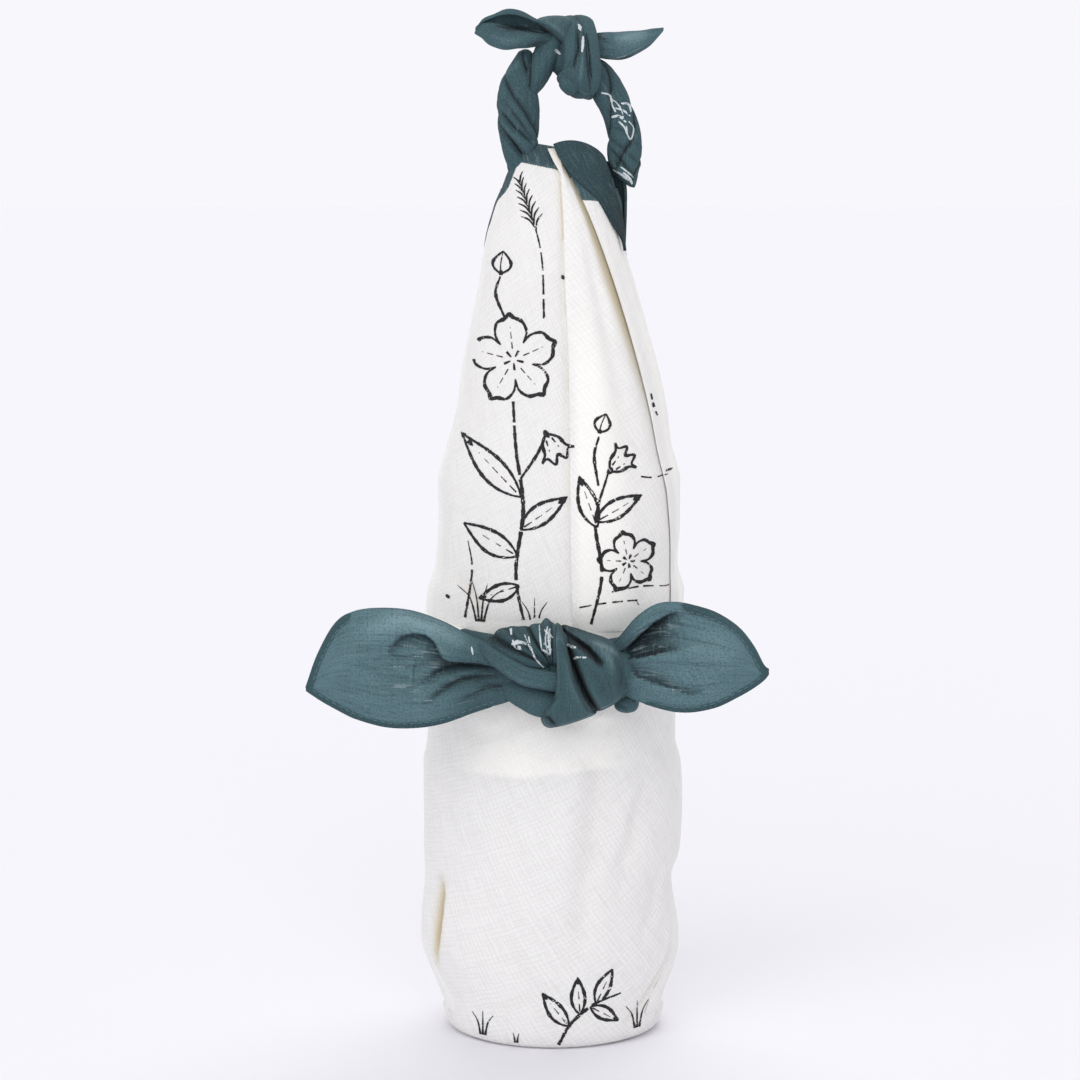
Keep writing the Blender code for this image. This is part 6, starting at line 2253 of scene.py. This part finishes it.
    def ribbon(self, projector: Projector, stroke: Stroke) -> tuple[list, list, list]:
        """Points, faces and flat places of one stroke on the cloth."""
        corners = np.array(stroke.points, float)
        fine = spline(corners, np.linspace(0.0, len(corners) - 1.0, 8 * len(corners)))
        run = np.concatenate([[0.0], np.cumsum(np.linalg.norm(np.diff(fine, axis=0), axis=1))])
        if run[-1] < 0.3:
            return [], [], []
        count = max(3, int(run[-1] / self.step))
        at = np.linspace(0.0, run[-1], count)
        xs, zs = np.interp(at, run, fine[:, 0]), np.interp(at, run, fine[:, 1])
        keys = np.linspace(0.0, 1.0, len(stroke.widths))
        width = np.interp(at / run[-1], keys, stroke.widths)
        width = width * (1.0 + 0.14 * np.sin(at * 1.7) + 0.08 * np.sin(at * 4.1))
        points, faces, flats, last = [], [], [], None
        for k in range(count):
            ax = xs[min(k + 1, count - 1)] - xs[max(k - 1, 0)]
            az = zs[min(k + 1, count - 1)] - zs[max(k - 1, 0)]
            size = max(1e-6, math.hypot(ax, az))
            nx, nz = -az / size, ax / size
            lifted = stroke.dashes and (at[k] % sum(stroke.dashes)) > stroke.dashes[0]
            row = []
            for side in (-0.5, 0.0, 0.5):
                hit = projector.drop(xs[k] + nx * side * width[k], zs[k] + nz * side * width[k])
                if hit is not None and (hit[3] in OFF_WHITE) == (stroke.ink is Ink.BLACK):
                    row.append(hit)
            depths = [hit[0].y for hit in row]
            if lifted or len(row) < 3 or max(depths) - min(depths) > 1.8 * MM:
                last = None
                continue
            start = len(points)
            for place, normal, flat, _ in row:
                points.append(place + normal * self.clear * MM)
                flats.append(flat)
            if last is not None and abs(points[start + 1].y - points[last + 1].y) < 2.2 * MM:
                faces += [(last, last + 1, start + 1, start), (last + 1, last + 2, start + 2, start + 1)]
            last = start
        return points, faces, flats

    def build(self, tailor: Tailor, projector: Projector) -> None:
        """Lay both prints on the cloth."""
        for ink, strokes in ((Ink.BLACK, self.off_white()), (Ink.WHITE, self.on_teal())):
            points, faces, flats = [], [], []
            for stroke in strokes:
                new_points, new_faces, new_flats = self.ribbon(projector, stroke)
                start = len(points)
                points += new_points
                flats += new_flats
                faces += [tuple(start + k for k in face) for face in new_faces]
            name = f"{ink.value}_print"
            mesh = bpy.data.meshes.new(name)
            mesh.from_pydata([tuple(p) for p in points], [], faces)
            uv = mesh.uv_layers.new(name="flat")
            for loop in mesh.loops:
                uv.data[loop.index].uv = flats[loop.vertex_index]
            edit = bmesh.new()
            edit.from_mesh(mesh)
            loose = [v for v in edit.verts if not v.link_faces]
            bmesh.ops.delete(edit, geom=loose, context="VERTS")
            edit.to_mesh(mesh)
            edit.free()
            mesh.polygons.foreach_set("use_smooth", [True] * len(mesh.polygons))
            mesh.materials.append(tailor.finishes.black if ink is Ink.BLACK else tailor.finishes.white)
            item = bpy.data.objects.new(name, mesh)
            bpy.context.scene.collection.objects.link(item)
            tailor.trim(item)


# ---------------------------------------------------------------- studio


@dataclass
class Studio:
    """A pale floor, soft light and the camera."""

    camera_at: tuple[float, float, float] = (0.0, -1.10, 0.30)
    aim: tuple[float, float, float] = (-0.0045, 0.0, 0.1733)
    lens: float = 105.2
    floor_radius: float = 30.0
    bright: tuple = linear(248, 247, 252)
    dim: tuple = (0.50, 0.50, 0.505, 1.0)
    suns: tuple[tuple[str, float, float, float, float], ...] = (
        ("key", 166.0, 66.0, 0.29, 45.0), ("fill", -16.0, 40.0, 0.335, 60.0))

    def look(self, item: bpy.types.Object, target: tuple[float, float, float]) -> None:
        """Turn an object's -Z towards a target."""
        item.rotation_euler = (Vector(target) - item.location).to_track_quat("-Z", "Y").to_euler()

    def camera(self) -> None:
        """Set the camera."""
        lens = bpy.data.cameras.new("camera")
        lens.lens = self.lens
        lens.sensor_width = 36.0
        lens.sensor_fit = "AUTO"
        item = bpy.data.objects.new("camera", lens)
        item.location = self.camera_at
        self.look(item, self.aim)
        bpy.context.scene.collection.objects.link(item)
        bpy.context.scene.camera = item

    def floor(self) -> None:
        """Lay the pale floor."""
        mesh = bpy.data.meshes.new("floor")
        edit = bmesh.new()
        bmesh.ops.create_circle(edit, cap_ends=True, segments=96, radius=self.floor_radius)
        edit.to_mesh(mesh)
        edit.free()
        mesh.materials.append(PaleFloor().make())
        item = bpy.data.objects.new("floor", mesh)
        bpy.context.scene.collection.objects.link(item)

    def sun(self, name: str, side: float, rise: float, strength: float, spread: float) -> None:
        """Hang a broad soft light far away.

        Args:
            name: its name.
            side, rise: its direction from the front towards the right, and up, in degrees.
            strength: how strong it is.
            spread: how broad it looks, in degrees.
        """
        light = bpy.data.lights.new(name, "SUN")
        light.energy, light.angle = strength * math.pi, math.radians(spread)
        item = bpy.data.objects.new(name, light)
        flat = math.cos(math.radians(rise))
        item.location = (flat * math.sin(math.radians(side)), -flat * math.cos(math.radians(side)),
                         math.sin(math.radians(rise)))
        self.look(item, (0.0, 0.0, 0.0))
        bpy.context.scene.collection.objects.link(item)

    def sky(self) -> None:
        """A sky that is bright near the horizon and dim above."""
        s = Shader("soft_sky", sky=True)
        way = s.add("ShaderNodeTexCoord", {}, {}, "Generated")
        rise = s.add("ShaderNodeSeparateXYZ", {}, {0: way}, "Z")
        light_and_shade = s.blend(rise.between(0.16, 0.55), self.bright, self.dim)
        glow = s.add("ShaderNodeBackground", {}, {"Color": light_and_shade, "Strength": 1.0})
        bpy.context.scene.world = s.finish(glow, "ShaderNodeOutputWorld")

    def build(self) -> None:
        """Set up the studio."""
        self.sky()
        bpy.context.scene.view_settings.view_transform = "Standard"
        self.floor()
        for sun in self.suns:
            self.sun(*sun)
        self.camera()


def main() -> None:
    """Load the frame, make every piece, and set up the studio."""
    logging.basicConfig(level=logging.INFO, format="%(name)s: %(message)s")
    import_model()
    Studio().build()
    tailor = Tailor(Finishes())
    form = BodyForm()
    cloth = BodyCloth(form)
    body = cloth.build(tailor)
    pleat = FrontPleat(form).build(tailor)
    panel = SidePanel(form, cloth).build(tailor)
    flaps = ShoulderFlaps(form).build(tailor)
    BackFlaps(form, cloth).build(tailor)
    WaistBands(form).build(tailor)
    ends = [BOW_LEFT.build(tailor), BOW_RIGHT.build(tailor)]
    knot = BOW_KNOT.build(tailor)
    ring = RING_HANDLE.build(tailor)
    bpy.context.view_layer.update()
    for end, piece in zip((BOW_LEFT, BOW_RIGHT), ends):
        HemStitches().sew(tailor, end, Projector([piece]))
    PrintedSprigs().build(tailor, Projector([body, pleat, panel] + flaps + ends + knot + ring))
    LOG.info("made %d pieces", len(tailor.made))


if __name__ == "__main__":
    main()
